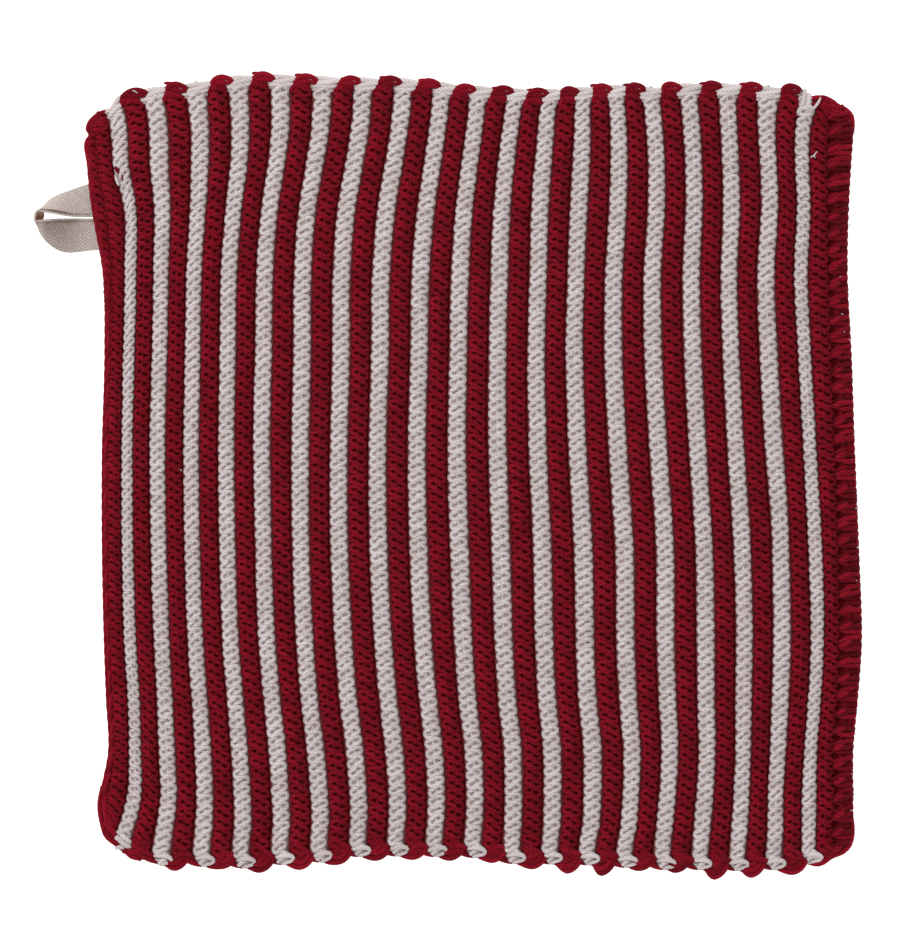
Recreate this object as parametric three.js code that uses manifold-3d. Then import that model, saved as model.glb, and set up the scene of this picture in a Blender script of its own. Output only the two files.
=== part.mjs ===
// Knitted cotton dishcloth, lying flat, with a folded hanging loop of woven tape.
// Millimetres, +Z up. The cloth rests on z = 0; +Y is the end the loop sits nearer to, and the loop
// leaves the left edge towards -X. The origin is the middle of the whole thing's footprint.
import * as THREE from 'three';
import { mergeVertices } from 'three/addons/utils/BufferGeometryUtils.js';
import Module from 'manifold-3d';

// ---- driving dimensions ----
const STRIPES = 39; // knitted ridges across the cloth: 20 red ones and 19 off-white ones between them
const RIDGE_HEIGHT = 4.0; // crown of a ridge above the surface the cloth rests on
const VALLEY_HEIGHT = 2.5; // groove between two ridges
const SEAM_HEIGHT = 2.2; // groove where the turned hem is stitched down
const HEM_HEIGHT = 3.5; // crown of the hem band on the right
const STEPS_PER_RIDGE = 4;
const HEM_STEPS = [0.12, 0.5, 0.86]; // columns across the hem band, as fractions of its width
const EDGE_ROUNDING = 0.9; // how far the underside draws in from the outline
const EDGE_MIDDLE = 1.3; // height at which the cloth is widest
const EDGE_TOP = 2.3; // height of the cloth's top surface at its rim
const SCALLOP = 0.75; // each red ridge ends this far outside the edge's mean line, each white one inside
const SCALLOP_LEAN = 0.35; // the end bumps lean this far to the right, in ridges
const TAPE_THICKNESS = 0.9;
const TAPE_STEPS = 3; // sections made between two rows of the table below
const GAP = 0.3; // clearance between the tape and the cloth that covers its ends
const POCKET_DEPTH = 12.5; // how far the hollow for the tape's ends runs in from the left edge
const FOOTPRINT_MIDDLE = [0.42, 0.21]; // middle of the whole footprint in the tables' own x and y

// Where the grooves and ridges lie along the cloth, one row for each level of y. Ridges are counted
// from the left edge: ridge 0 lies between "left" and "white1_left". The other columns are the middle
// lines of white stripes 3, 6, 9, 12, 15 and 17.
const SWAY_COLUMNS = ['y', 'left', 'white1_left', 'white1_right', 'white3', 'white6', 'white9', 'white12', 'white15', 'white17', 'white19_left', 'white19_right', 'seam', 'right'];
const SWAY = [
  [119.9, -114.4, -110.0, -103.3, -79.6, -39.8, -2.8, 32.5, 64.1, 88.2, 111.9, 117.5, 121.6, 128.6],
  [108.9, -114.7, -107.1, -101.2, -78.5, -40.5, -3.5, 31.0, 65.2, 88.7, 109.5, 114.7, 120.7, 128.6],
  [86.7, -113.4, -103.3, -98.8, -79.0, -44.2, -6.7, 29.1, 65.8, 89.5, 110.0, 114.7, 120.4, 127.3],
  [63.0, -109.6, -102.5, -98.5, -80.4, -46.0, -8.8, 28.4, 64.5, 88.7, 109.1, 113.8, 120.6, 127.0],
  [39.3, -109.0, -102.9, -99.0, -80.8, -46.2, -9.2, 27.8, 64.7, 89.3, 110.3, 114.7, 121.3, 128.0],
  [7.7, -109.8, -103.4, -99.7, -81.3, -46.8, -10.0, 28.3, 66.4, 90.9, 112.0, 116.5, 122.6, 129.2],
  [-23.9, -110.0, -103.3, -99.5, -80.9, -46.6, -9.4, 29.7, 68.5, 92.9, 113.6, 118.4, 123.6, 130.2],
  [-55.5, -109.3, -102.5, -98.4, -79.8, -45.2, -7.8, 30.4, 68.7, 93.6, 114.3, 118.7, 123.9, 131.1],
  [-71.3, -108.7, -101.5, -97.4, -78.6, -43.9, -6.4, 31.2, 69.3, 93.3, 113.5, 117.9, 123.1, 129.9],
  [-87.1, -108.1, -101.2, -97.0, -77.6, -42.0, -4.6, 32.8, 70.0, 93.2, 112.3, 116.7, 122.0, 128.3],
  [-102.9, -110.3, -102.1, -97.0, -77.0, -40.7, -3.8, 32.9, 69.1, 92.6, 111.5, 116.5, 122.3, 128.3],
  [-118.7, -109.4, -106.6, -101.6, -77.7, -40.1, -4.4, 32.5, 67.6, 91.6, 111.7, 116.6, 121.3, 127.7],
];
// Ridge coordinate of each column of the table above, in ridges from the left edge.
const SWAY_AT = [0, 1, 2, 5.5, 11.5, 17.5, 23.5, 29.5, 33.5, 37, 38, STRIPES, STRIPES + 1];

// The mean line of the two ends of the ridges, with the rounded corners.
const END_COLUMNS = ['ridge', 'top', 'bottom'];
const ENDS = [
  [0, 110.8, -110.4],
  [0.5, 114.8, -115.2],
  [1.5, 118.2, -118.2],
  [3.5, 122.4, -123.0],
  [7.5, 126.4, -124.2],
  [11.5, 126.2, -123.4],
  [15.5, 125.4, -121.2],
  [19.5, 123.2, -121.8],
  [23.5, 122.0, -124.6],
  [27.5, 123.1, -124.9],
  [31.5, 123.9, -126.2],
  [35.5, 123.0, -125.6],
  [38, 120.9, -123.8],
  [39, 118.2, -121.7],
  [40, 112.7, -116.8],
];
const END_ROWS = [0, 0.012, 0.03, 0.08, 0.16, 0.26, 0.36, 0.46, 0.56, 0.66, 0.76, 0.86, 0.94, 0.975, 0.988, 1];

// The tape, a row for each section from its upper end round to its lower one. inner_* is the tape's
// edge on the inside of the loop, outer_* its other edge. The middle of the loop stands on its edge.
const TAPE_COLUMNS = ['inner_x', 'inner_y', 'inner_z', 'outer_x', 'outer_y', 'outer_z'];
const TAPE = [
  [-102.4, 82.3, 0.48, -102.4, 92.4, 0.48],
  [-113.4, 81.9, 0.48, -114.2, 92.1, 0.48],
  [-115.6, 81.8, 1.9, -116.4, 91.5, 0.48],
  [-117.4, 81.8, 4.1, -118.3, 90.8, 0.5],
  [-120.2, 82.2, 6.8, -121.4, 89.6, 0.45],
  [-124.2, 83.2, 8.9, -123.9, 88.4, 0.35],
  [-128.0, 84.0, 9.7, -126.3, 86.9, 0.25],
  [-129.6, 82.8, 9.6, -126.7, 85.9, 0.2],
  [-130.0, 81.7, 9.8, -127.0, 83.7, 0.2],
  [-130.1, 81.0, 9.9, -127.1, 81.0, 0.2],
  [-130.0, 80.4, 9.7, -127.3, 77.9, 0.2],
  [-129.7, 79.7, 9.2, -127.7, 75.2, 0.2],
  [-128.4, 79.6, 8.5, -127.0, 73.6, 0.25],
  [-126.6, 79.9, 7.2, -125.6, 72.5, 0.35],
  [-124.4, 80.2, 5.2, -123.9, 71.3, 0.45],
  [-121.8, 80.4, 2.8, -121.6, 70.4, 0.5],
  [-118.0, 80.6, 1.2, -118.1, 70.5, 0.5],
  [-112.8, 80.8, 0.5, -112.2, 70.9, 0.48],
  [-101.5, 81.1, 0.48, -101.2, 71.0, 0.48],
];

// ---- smooth interpolation in the tables ----
function slopes(at, values) {
  const last = at.length - 1;
  return values.map((v, i) => {
    if (i === 0) return (values[1] - v) / (at[1] - at[0]);
    if (i === last) return (v - values[last - 1]) / (at[last] - at[last - 1]);
    const before = at[i] - at[i - 1];
    const after = at[i + 1] - at[i];
    return (((v - values[i - 1]) / before) * after + ((values[i + 1] - v) / after) * before) / (before + after);
  });
}

function smooth(at, values, x) {
  const m = slopes(at, values);
  let i = 0;
  while (i < at.length - 2 && x > at[i + 1]) i += 1;
  const h = at[i + 1] - at[i];
  const t = Math.min(1, Math.max(0, (x - at[i]) / h));
  const a = values[i];
  const b = values[i + 1];
  return (2 * t ** 3 - 3 * t ** 2 + 1) * a + (t ** 3 - 2 * t ** 2 + t) * h * m[i] + (3 * t ** 2 - 2 * t ** 3) * b + (t ** 3 - t ** 2) * h * m[i + 1];
}

const SWAY_Y = SWAY.map((row) => row[0]).reverse();
const SWAY_BY_COLUMN = SWAY_AT.map((_, c) => SWAY.map((row) => row[c + 1]).reverse());

// x of the ridge coordinate at height y
function swayAt(ridge, y) {
  const clamped = Math.min(SWAY_Y[SWAY_Y.length - 1], Math.max(SWAY_Y[0], y));
  return smooth(SWAY_AT, SWAY_BY_COLUMN.map((column) => smooth(SWAY_Y, column, clamped)), ridge);
}

// y of an end of the ridges: side is 1 for the top edge, -1 for the bottom one
function endAt(ridge, side) {
  const mean = smooth(ENDS.map((row) => row[0]), ENDS.map((row) => row[side > 0 ? 1 : 2]), ridge);
  const inside = Math.min(1, ridge, STRIPES - ridge);
  const scallop = inside > 0 ? SCALLOP * inside * Math.cos(Math.PI * (ridge - 0.5 - SCALLOP_LEAN)) : 0;
  return mean + side * scallop;
}

// ---- the cloth ----
function ridgeColumns() {
  const columns = [];
  for (let k = 0; k < STRIPES; k += 1) {
    for (let s = 0; s < STEPS_PER_RIDGE; s += 1) columns.push(k + s / STEPS_PER_RIDGE);
  }
  columns.push(STRIPES, ...HEM_STEPS.map((f) => STRIPES + f), STRIPES + 1);
  return columns;
}

// Height of the top surface across the ridges, away from the rim
function crossHeight(ridge) {
  if (ridge <= 0 || ridge >= STRIPES + 1) return EDGE_TOP;
  if (ridge > STRIPES) return ridge > STRIPES + 0.7 ? HEM_HEIGHT - 0.4 : HEM_HEIGHT;
  const groove = ridge === STRIPES ? SEAM_HEIGHT : VALLEY_HEIGHT;
  const within = ridge - Math.floor(ridge);
  return groove + (RIDGE_HEIGHT - groove) * Math.sin(Math.PI * within) ** 0.6;
}

function clothGeometry() {
  const columns = ridgeColumns();
  const rows = END_ROWS;
  const nc = columns.length;
  const nr = rows.length;
  const top = columns.map((ridge) => {
    const low = endAt(ridge, -1);
    const high = endAt(ridge, 1);
    return rows.map((f) => {
      const y = low + (high - low) * f;
      const fromEnd = Math.min(f, 1 - f) * (high - low);
      const rounding = Math.min(1, fromEnd / 5);
      const z = EDGE_TOP + (crossHeight(ridge) - EDGE_TOP) * Math.sqrt(rounding);
      return new THREE.Vector3(swayAt(ridge, y), y, z);
    });
  });
  // The rim runs anticlockwise: along the bottom edge, up the right, back along the top, down the left.
  const rim = [];
  for (let c = 0; c < nc; c += 1) rim.push([c, 0]);
  for (let r = 1; r < nr; r += 1) rim.push([nc - 1, r]);
  for (let c = nc - 2; c >= 0; c -= 1) rim.push([c, nr - 1]);
  for (let r = nr - 2; r > 0; r -= 1) rim.push([0, r]);
  const points = [];
  const index = [];
  const topId = (c, r) => c * nr + r;
  top.forEach((column) => column.forEach((p) => points.push(p)));
  for (let c = 0; c < nc - 1; c += 1) {
    for (let r = 0; r < nr - 1; r += 1) {
      index.push(topId(c, r), topId(c + 1, r), topId(c + 1, r + 1));
      index.push(topId(c, r), topId(c + 1, r + 1), topId(c, r + 1));
    }
  }
  const outline = rim.map(([c, r]) => top[c][r]);
  const n = outline.length;
  // outward direction in plan at each rim point, smoothed over its neighbours
  const outward = outline.map((_, i) => {
    const before = outline[(i - 4 + n) % n];
    const after = outline[(i + 4) % n];
    return new THREE.Vector3(after.y - before.y, before.x - after.x, 0).normalize();
  });
  const middleStart = points.length;
  outline.forEach((p, i) => points.push(new THREE.Vector3(p.x, p.y, EDGE_MIDDLE).addScaledVector(outward[i], 0.35)));
  const underStart = points.length;
  const under = outline.map((p, i) => new THREE.Vector3(p.x, p.y, 0).addScaledVector(outward[i], -EDGE_ROUNDING));
  under.forEach((p) => points.push(p));
  for (let i = 0; i < n; i += 1) {
    const j = (i + 1) % n;
    const a = topId(...rim[i]);
    const b = topId(...rim[j]);
    index.push(middleStart + i, middleStart + j, b, middleStart + i, b, a);
    index.push(underStart + i, underStart + j, middleStart + j, underStart + i, middleStart + j, middleStart + i);
  }
  const flat = under.map((p) => new THREE.Vector2(p.x, p.y));
  THREE.ShapeUtils.triangulateShape(flat, []).forEach(([a, b, c]) => index.push(underStart + a, underStart + c, underStart + b));
  const geometry = new THREE.BufferGeometry();
  geometry.setAttribute('position', new THREE.Float32BufferAttribute(points.flatMap((p) => [p.x, p.y, p.z]), 3));
  geometry.setIndex(index);
  return geometry;
}

// The hollow under the left edge in which the two sewn ends of the tape lie
function pocketGeometry() {
  const height = TAPE_THICKNESS + 0.15 + GAP;
  const low = Math.min(TAPE[TAPE.length - 1][4], TAPE[TAPE.length - 2][4]) - GAP - 0.1;
  const high = TAPE[0][4] + GAP + 0.1;
  const right = swayAt(0, (low + high) / 2) + POCKET_DEPTH;
  const width = POCKET_DEPTH + 10;
  const geometry = new THREE.BoxGeometry(width, high - low, height + 2);
  geometry.translate(right - width / 2, (high + low) / 2, height / 2 - 1);
  return geometry;
}

// ---- the hanging loop ----
function tapeGeometry() {
  const at = TAPE.map((_, i) => i);
  const columns = TAPE_COLUMNS.map((_, c) => TAPE.map((row) => row[c]));
  const sections = [];
  const count = (TAPE.length - 1) * TAPE_STEPS;
  for (let i = 0; i <= count; i += 1) {
    const v = columns.map((column) => smooth(at, column, i / TAPE_STEPS));
    sections.push([new THREE.Vector3(v[0], v[1], v[2]), new THREE.Vector3(v[3], v[4], v[5])]);
  }
  const points = [];
  sections.forEach(([inner, outer], i) => {
    const [inner0, outer0] = sections[Math.max(0, i - 1)];
    const [inner1, outer1] = sections[Math.min(count, i + 1)];
    const along = inner1.clone().add(outer1).sub(inner0).sub(outer0);
    const across = inner.clone().sub(outer);
    const normal = across.cross(along).normalize().multiplyScalar(TAPE_THICKNESS / 2);
    points.push(inner.clone().add(normal), outer.clone().add(normal), outer.clone().sub(normal), inner.clone().sub(normal));
  });
  const index = [0, 1, 2, 0, 2, 3];
  for (let i = 0; i < count; i += 1) {
    for (let k = 0; k < 4; k += 1) {
      const a = 4 * i + k;
      const b = 4 * i + ((k + 1) % 4);
      index.push(a, a + 4, b + 4, a, b + 4, b);
    }
  }
  const e = 4 * count;
  index.push(e, e + 2, e + 1, e, e + 3, e + 2);
  const lowest = Math.min(...points.map((p) => p.z));
  const geometry = new THREE.BufferGeometry();
  geometry.setAttribute('position', new THREE.Float32BufferAttribute(points.flatMap((p) => [p.x, p.y, p.z - lowest]), 3));
  geometry.setIndex(index);
  return geometry;
}

// ---- cutting the hollow ----
const wasm = await Module();
wasm.setup();

function toSolid(geometry) {
  const bare = geometry.clone();
  ['normal', 'uv'].forEach((name) => bare.deleteAttribute(name));
  const merged = mergeVertices(bare, 1e-4);
  return new wasm.Manifold(new wasm.Mesh({
    numProp: 3,
    vertProperties: new Float32Array(merged.attributes.position.array),
    triVerts: new Uint32Array(merged.index.array),
  }));
}

function toGeometry(solid) {
  const mesh = solid.getMesh();
  const geometry = new THREE.BufferGeometry();
  geometry.setAttribute('position', new THREE.BufferAttribute(new Float32Array(mesh.vertProperties), 3));
  geometry.setIndex(new THREE.BufferAttribute(new Uint32Array(mesh.triVerts), 1));
  geometry.computeVertexNormals();
  return geometry;
}

function namedMesh(name, geometry, colour, roughness) {
  const mesh = new THREE.Mesh(geometry, new THREE.MeshStandardMaterial({ color: colour, roughness, metalness: 0 }));
  mesh.name = name;
  return mesh;
}

const dishcloth = new THREE.Group();
dishcloth.position.set(-FOOTPRINT_MIDDLE[0], -FOOTPRINT_MIDDLE[1], 0);
const clothSolid = toSolid(clothGeometry()).subtract(toSolid(pocketGeometry()));
dishcloth.add(namedMesh('cloth', toGeometry(clothSolid), 0x7d0a1e, 0.95));
const tape = tapeGeometry();
tape.computeVertexNormals();
dishcloth.add(namedMesh('hanging_loop', tape, 0xc8c0b9, 0.9));

export default dishcloth;
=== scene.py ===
"""A knitted cotton dishcloth in dark red and off-white ridges, lying flat, with a hanging loop of woven tape.

Lengths in the tables are millimetres, as in the CAD part; meshes are written in metres.
A place on the cloth is (ridge, stitch): ridges are counted from the left edge, stitches from the bottom one.
"""

import math

import bpy
import numpy as np
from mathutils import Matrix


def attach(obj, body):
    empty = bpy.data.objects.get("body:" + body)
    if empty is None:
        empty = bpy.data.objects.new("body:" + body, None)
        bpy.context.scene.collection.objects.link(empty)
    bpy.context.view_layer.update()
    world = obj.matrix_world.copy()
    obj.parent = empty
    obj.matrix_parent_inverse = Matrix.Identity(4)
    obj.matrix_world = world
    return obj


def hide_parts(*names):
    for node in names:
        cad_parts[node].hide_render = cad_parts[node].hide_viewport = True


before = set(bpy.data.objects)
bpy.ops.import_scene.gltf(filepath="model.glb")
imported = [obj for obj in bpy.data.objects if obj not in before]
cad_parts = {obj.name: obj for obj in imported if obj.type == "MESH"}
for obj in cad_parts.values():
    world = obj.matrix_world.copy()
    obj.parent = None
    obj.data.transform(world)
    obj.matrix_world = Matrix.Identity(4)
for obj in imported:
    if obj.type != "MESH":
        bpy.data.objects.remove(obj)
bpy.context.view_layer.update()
MM = 0.001
SHIFT = np.array([0.42, 0.21, 0.0])  # middle of the footprint in the tables' x and y

# ---------------------------------------------------------------- the cloth's plan, as in the CAD part
STRIPES = 39
STITCHES = 80
SWAY_AT = np.array([0, 1, 2, 5.5, 11.5, 17.5, 23.5, 29.5, 33.5, 37, 38, STRIPES, STRIPES + 1], float)
# y, left, white1_left, white1_right, white3, white6, white9, white12, white15, white17, white19_left, white19_right, seam, right
SWAY = np.array([
    [119.9, -114.4, -110.0, -103.3, -79.6, -39.8, -2.8, 32.5, 64.1, 88.2, 111.9, 117.5, 121.6, 128.8],
    [108.9, -114.6, -107.1, -101.2, -78.5, -40.5, -3.5, 31.0, 65.2, 88.7, 109.5, 114.7, 120.7, 128.4],
    [97.5, -114.2, -106.2, -100.8, -78.5, -42.3, -5.1, 29.9, 65.8, 89.2, 109.4, 114.3, 120.4, 127.6],
    [86.7, -113.1, -103.3, -98.8, -79.0, -44.2, -6.7, 29.1, 65.8, 89.5, 110.0, 114.7, 120.4, 127.0],
    [63.0, -109.2, -102.5, -98.5, -80.4, -46.0, -8.8, 28.4, 64.5, 88.7, 109.1, 113.8, 120.6, 126.5],
    [39.3, -108.7, -102.9, -99.0, -80.8, -46.2, -9.2, 27.8, 64.7, 89.3, 110.3, 114.7, 121.3, 127.7],
    [7.7, -109.5, -103.4, -99.7, -81.3, -46.8, -10.0, 28.3, 66.4, 90.9, 112.0, 116.5, 122.6, 128.8],
    [-23.9, -109.5, -103.3, -99.5, -80.9, -46.6, -9.4, 29.7, 68.5, 92.9, 113.6, 118.4, 123.6, 130.1],
    [-55.5, -108.8, -102.5, -98.4, -79.8, -45.2, -7.8, 30.4, 68.7, 93.6, 114.3, 118.7, 123.9, 130.9],
    [-71.3, -108.2, -101.5, -97.4, -78.6, -43.9, -6.4, 31.2, 69.3, 93.3, 113.5, 117.9, 123.1, 129.7],
    [-87.1, -107.5, -101.2, -97.0, -77.6, -42.0, -4.6, 32.8, 70.0, 93.2, 112.3, 116.7, 122.0, 128.3],
    [-102.9, -110.2, -102.1, -97.0, -77.0, -40.7, -3.8, 32.9, 69.1, 92.6, 111.5, 116.5, 122.3, 128.3],
    [-118.7, -109.4, -107.6, -101.0, -77.7, -40.1, -4.4, 32.5, 67.6, 91.6, 111.7, 116.6, 121.3, 128.1],
])[::-1]


def smooth(at, values, x):
    """Values of a smooth curve through (at, values) at x. values may have more rows, one curve each."""
    at, values, x = np.asarray(at, float), np.atleast_2d(np.asarray(values, float)), np.asarray(x, float)
    steps = np.diff(values, axis=1) / np.diff(at)
    before, after = np.diff(at)[:-1], np.diff(at)[1:]
    m = np.empty_like(values)
    m[:, 0], m[:, -1] = steps[:, 0], steps[:, -1]
    m[:, 1:-1] = (steps[:, :-1] * after + steps[:, 1:] * before) / (before + after)
    i = np.clip(np.searchsorted(at, x) - 1, 0, len(at) - 2)
    h = at[i + 1] - at[i]
    t = np.clip((x - at[i]) / h, 0, 1)
    out = (2 * t**3 - 3 * t**2 + 1) * values[:, i] + (t**3 - 2 * t**2 + t) * h * m[:, i]
    out += (3 * t**2 - 2 * t**3) * values[:, i + 1] + (t**3 - t**2) * h * m[:, i + 1]
    return out


# How far single ridges lie to the right of the curves through the table: ridge, and mm at each height of BEND_Y
BEND_Y = np.array([-118, -105, -75, -45, -15, 15, 45, 75, 105, 118], float)
BEND = {
    3.5: [0.0, 0.2, 0.25, 0.62, 0.68, 0.50, 0.55, 0.35, 0.1, 0.0],
    9.5: [0.0, -0.1, 0.05, -0.1, -0.1, -0.5, -0.3, -0.15, -0.1, 0.0],
    26.5: [0.6, 0.6, 0.1, 0.05, -0.2, -0.35, -0.35, -0.05, 0.15, 0.1],
    35.5: [0.0, -0.2, -0.5, -0.62, 0.0, -0.75, -0.76, -0.3, 0.0, -0.9],
}
BEND_AT = [0, 1.5, 3.5, 5.5, 7.5, 9.5, 11.5, 17.5, 23.5, 26.5, 29.5, 33.5, 35.5, 37, STRIPES + 1]

# Beside that, how far the ridges lean to the right in their last stitches: place on the cloth, mm at the bottom, at the top
END_LEAN = np.array([
    [0.0, 0.0, 0.0], [2.5, 0.0, 0.0], [3.5, 0.3, 0.0], [5.5, -0.3, 0.0], [7.5, -0.85, 0.0], [9.5, -0.95, -0.3], [11.5, -0.9, 0.0],
    [13.5, -0.5, 0.1], [15.5, -0.45, 0.5], [17.5, -0.25, 0.5], [19.5, -0.3, 0.1], [21.5, -0.2, 0.1], [23.5, -0.45, -0.4],
    [25.5, -0.95, -0.4], [27.5, -0.8, -0.2], [29.5, 0.0, 0.0], [31.5, 0.0, 0.0], [33.5, -0.3, -0.1], [35.5, -0.5, 0.0],
    [37.5, -0.35, -0.2], [38.5, -0.1, 0.0], [40.0, 0.0, 0.0],
])

# The sway on a fine grid, read between its points
GRID_A = np.arange(0, STRIPES + 1.001, 0.05)
GRID_Y = np.arange(-130, 130.01, 1.0)
_columns = smooth(SWAY[:, 0], SWAY[:, 1:].T, np.clip(GRID_Y, SWAY[0, 0], SWAY[-1, 0]))
_bends = smooth(BEND_Y, [BEND.get(at, [0.0] * len(BEND_Y)) for at in BEND_AT], np.clip(GRID_Y, BEND_Y[0], BEND_Y[-1]))
GRID_X = np.array([smooth(SWAY_AT, _columns[:, j], GRID_A)[0] + smooth(BEND_AT, _bends[:, j], GRID_A)[0] for j in range(len(GRID_Y))]).T


def sway(ridge, y):
    a = np.clip(np.asarray(ridge, float), 0, STRIPES + 0.999) / 0.05
    b = np.clip((np.asarray(y, float) - GRID_Y[0]), 0, len(GRID_Y) - 1.001)
    i, j = a.astype(int), b.astype(int)
    fa, fb = a - i, b - j
    x = GRID_X[i, j] * (1 - fa) * (1 - fb) + GRID_X[i + 1, j] * fa * (1 - fb)
    x = x + GRID_X[i, j + 1] * (1 - fa) * fb + GRID_X[i + 1, j + 1] * fa * fb
    # beyond the two edges the columns go on at their own width
    over = np.asarray(ridge, float) - np.clip(ridge, 0, STRIPES + 1)
    return x + over * 6.1


# Where the edge yarns turn, one row for each off-white ridge up to the last but one: its hook at the bottom edge,
# and the red ridge on its right, with its loop at the top edge and its scallop at the bottom one.
# ridge, hook_x, hook_y, loop_x, loop_y, scallop_x, scallop_y
EDGE = np.array([
    [1, -102.1, -117.4, -98.3, 122.1, -99.2, -121.8],
    [3, -89.1, -121.5, -85.6, 124.0, -86.6, -125.3],
    [5, -75.8, -121.8, -71.4, 126.2, -71.4, -124.7],
    [7, -62.9, -122.3, -58.1, 127.2, -59.7, -125.9],
    [9, -50.6, -121.2, -44.4, 126.6, -47.1, -125.0],
    [11, -38.7, -120.4, -30.9, 125.9, -35.1, -123.4],
    [13, -26.5, -118.7, -17.9, 125.9, -22.8, -122.1],
    [15, -14.5, -118.5, -5.6, 125.0, -11.1, -121.8],
    [17, -2.4, -118.7, 5.4, 123.4, 0.6, -122.1],
    [19, 10.0, -119.0, 17.1, 122.8, 13.9, -122.8],
    [21, 22.4, -120.9, 28.4, 122.1, 26.5, -124.8],
    [23, 34.0, -121.0, 38.2, 122.5, 37.4, -126.2],
    [25, 45.8, -121.3, 48.7, 123.4, 48.0, -126.9],
    [27, 57.8, -122.1, 58.8, 123.7, 60.7, -125.3],
    [29, 70.0, -122.8, 70.5, 124.0, 72.0, -125.9],
    [31, 81.2, -122.8, 82.8, 124.3, 83.7, -128.1],
    [33, 92.9, -123.1, 95.7, 124.0, 95.4, -127.5],
    [35, 104.6, -122.8, 108.1, 123.4, 108.7, -126.6],
])
LAST_HOOK = (116.3, -120.9)
# ridge, y at the corners beyond the table
TOP_LEFT, TOP_RIGHT = [(0, 110.8), (0.5, 114.8), (1.5, 118.9)], [(38, 121.0), (39, 118.2), (40, 112.7)]
LOW_LEFT, LOW_RIGHT = [(0, -110.4), (0.5, -115.6)], [(37.5, -123.1), (38.5, -122.2), (39, -121.0), (40, -116.8)]
TOP_LINE = np.array(TOP_LEFT + [(row[0] + 1.5, row[4]) for row in EDGE] + TOP_RIGHT)
LOW_LINE = np.array(LOW_LEFT + [(row[0] + 0.5, row[2] - 2.2) for row in EDGE] + LOW_RIGHT)


def ease(x):
    x = np.clip(x, 0, 1)
    return x * x * (3 - 2 * x)


def end_line(ridge, side):
    line = TOP_LINE if side > 0 else LOW_LINE
    return smooth(line[:, 0], line[:, 1], np.clip(ridge, 0, STRIPES + 1))[0]


def place(ridge, stitch, z, about=None):
    """Millimetre points of (ridge, stitch, z), in the part's own frame. With about, rows of stitches lie square to
    that ridge, and only turn with the cloth's outline in the last ones."""
    ridge, stitch, z = np.broadcast_arrays(np.asarray(ridge, float), np.asarray(stitch, float), np.asarray(z, float))
    low, high = end_line(ridge.ravel(), -1), end_line(ridge.ravel(), 1)
    y = low + (high - low) * stitch.ravel() / STITCHES
    if about is not None:
        low, high = end_line(np.array([about]), -1)[0], end_line(np.array([about]), 1)[0]
        square = low + (high - low) * stitch.ravel() / STITCHES
        y = square + (y - square) * (1 - ease(np.minimum(stitch.ravel(), STITCHES - stitch.ravel()) / 9.0))
    x = sway(ridge.ravel(), y)
    x = x + np.interp(ridge.ravel(), END_LEAN[:, 0], END_LEAN[:, 1]) * ease((4.4 - stitch.ravel()) / 2.4)
    x = x + np.interp(ridge.ravel(), END_LEAN[:, 0], END_LEAN[:, 2]) * ease((stitch.ravel() - 74.5) / 3.0)
    return np.stack([x, y, z.ravel()], axis=1).reshape(ridge.shape + (3,)) - SHIFT


# ---------------------------------------------------------------- meshes
def make_object(name, points_mm, faces, materials, face_slots=None, uv=None, values=None, smooth_shade=True):
    """faces: list of (n, k) arrays of vertex numbers. uv: per corner. values: {name: per-vertex float array}."""
    mesh = bpy.data.meshes.new(name)
    sizes = np.concatenate([np.full(len(f), f.shape[1], np.int32) for f in faces])
    loops = np.concatenate([np.asarray(f, np.int32).ravel() for f in faces])
    starts = np.concatenate([[0], np.cumsum(sizes)[:-1]]).astype(np.int32)
    mesh.vertices.add(len(points_mm))
    mesh.vertices.foreach_set("co", (np.asarray(points_mm, float) * MM).astype(np.float32).ravel())
    mesh.loops.add(len(loops))
    mesh.loops.foreach_set("vertex_index", loops)
    mesh.polygons.add(len(sizes))
    mesh.polygons.foreach_set("loop_start", starts)
    mesh.polygons.foreach_set("loop_total", sizes)
    mesh.polygons.foreach_set("use_smooth", np.full(len(sizes), smooth_shade))
    for m in materials:
        mesh.materials.append(m)
    if face_slots is not None:
        mesh.polygons.foreach_set("material_index", np.asarray(face_slots, np.int32))
    if uv is not None:
        layer = mesh.uv_layers.new(name="Along")
        layer.data.foreach_set("uv", np.asarray(uv, np.float32).ravel())
    for key, data in (values or {}).items():
        attribute = mesh.attributes.new(key, "FLOAT", "POINT")
        attribute.data.foreach_set("value", np.asarray(data, np.float32))
    mesh.update(calc_edges=True)
    mesh.validate()
    obj = bpy.data.objects.new(name, mesh)
    bpy.context.scene.collection.objects.link(obj)
    return obj


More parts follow.
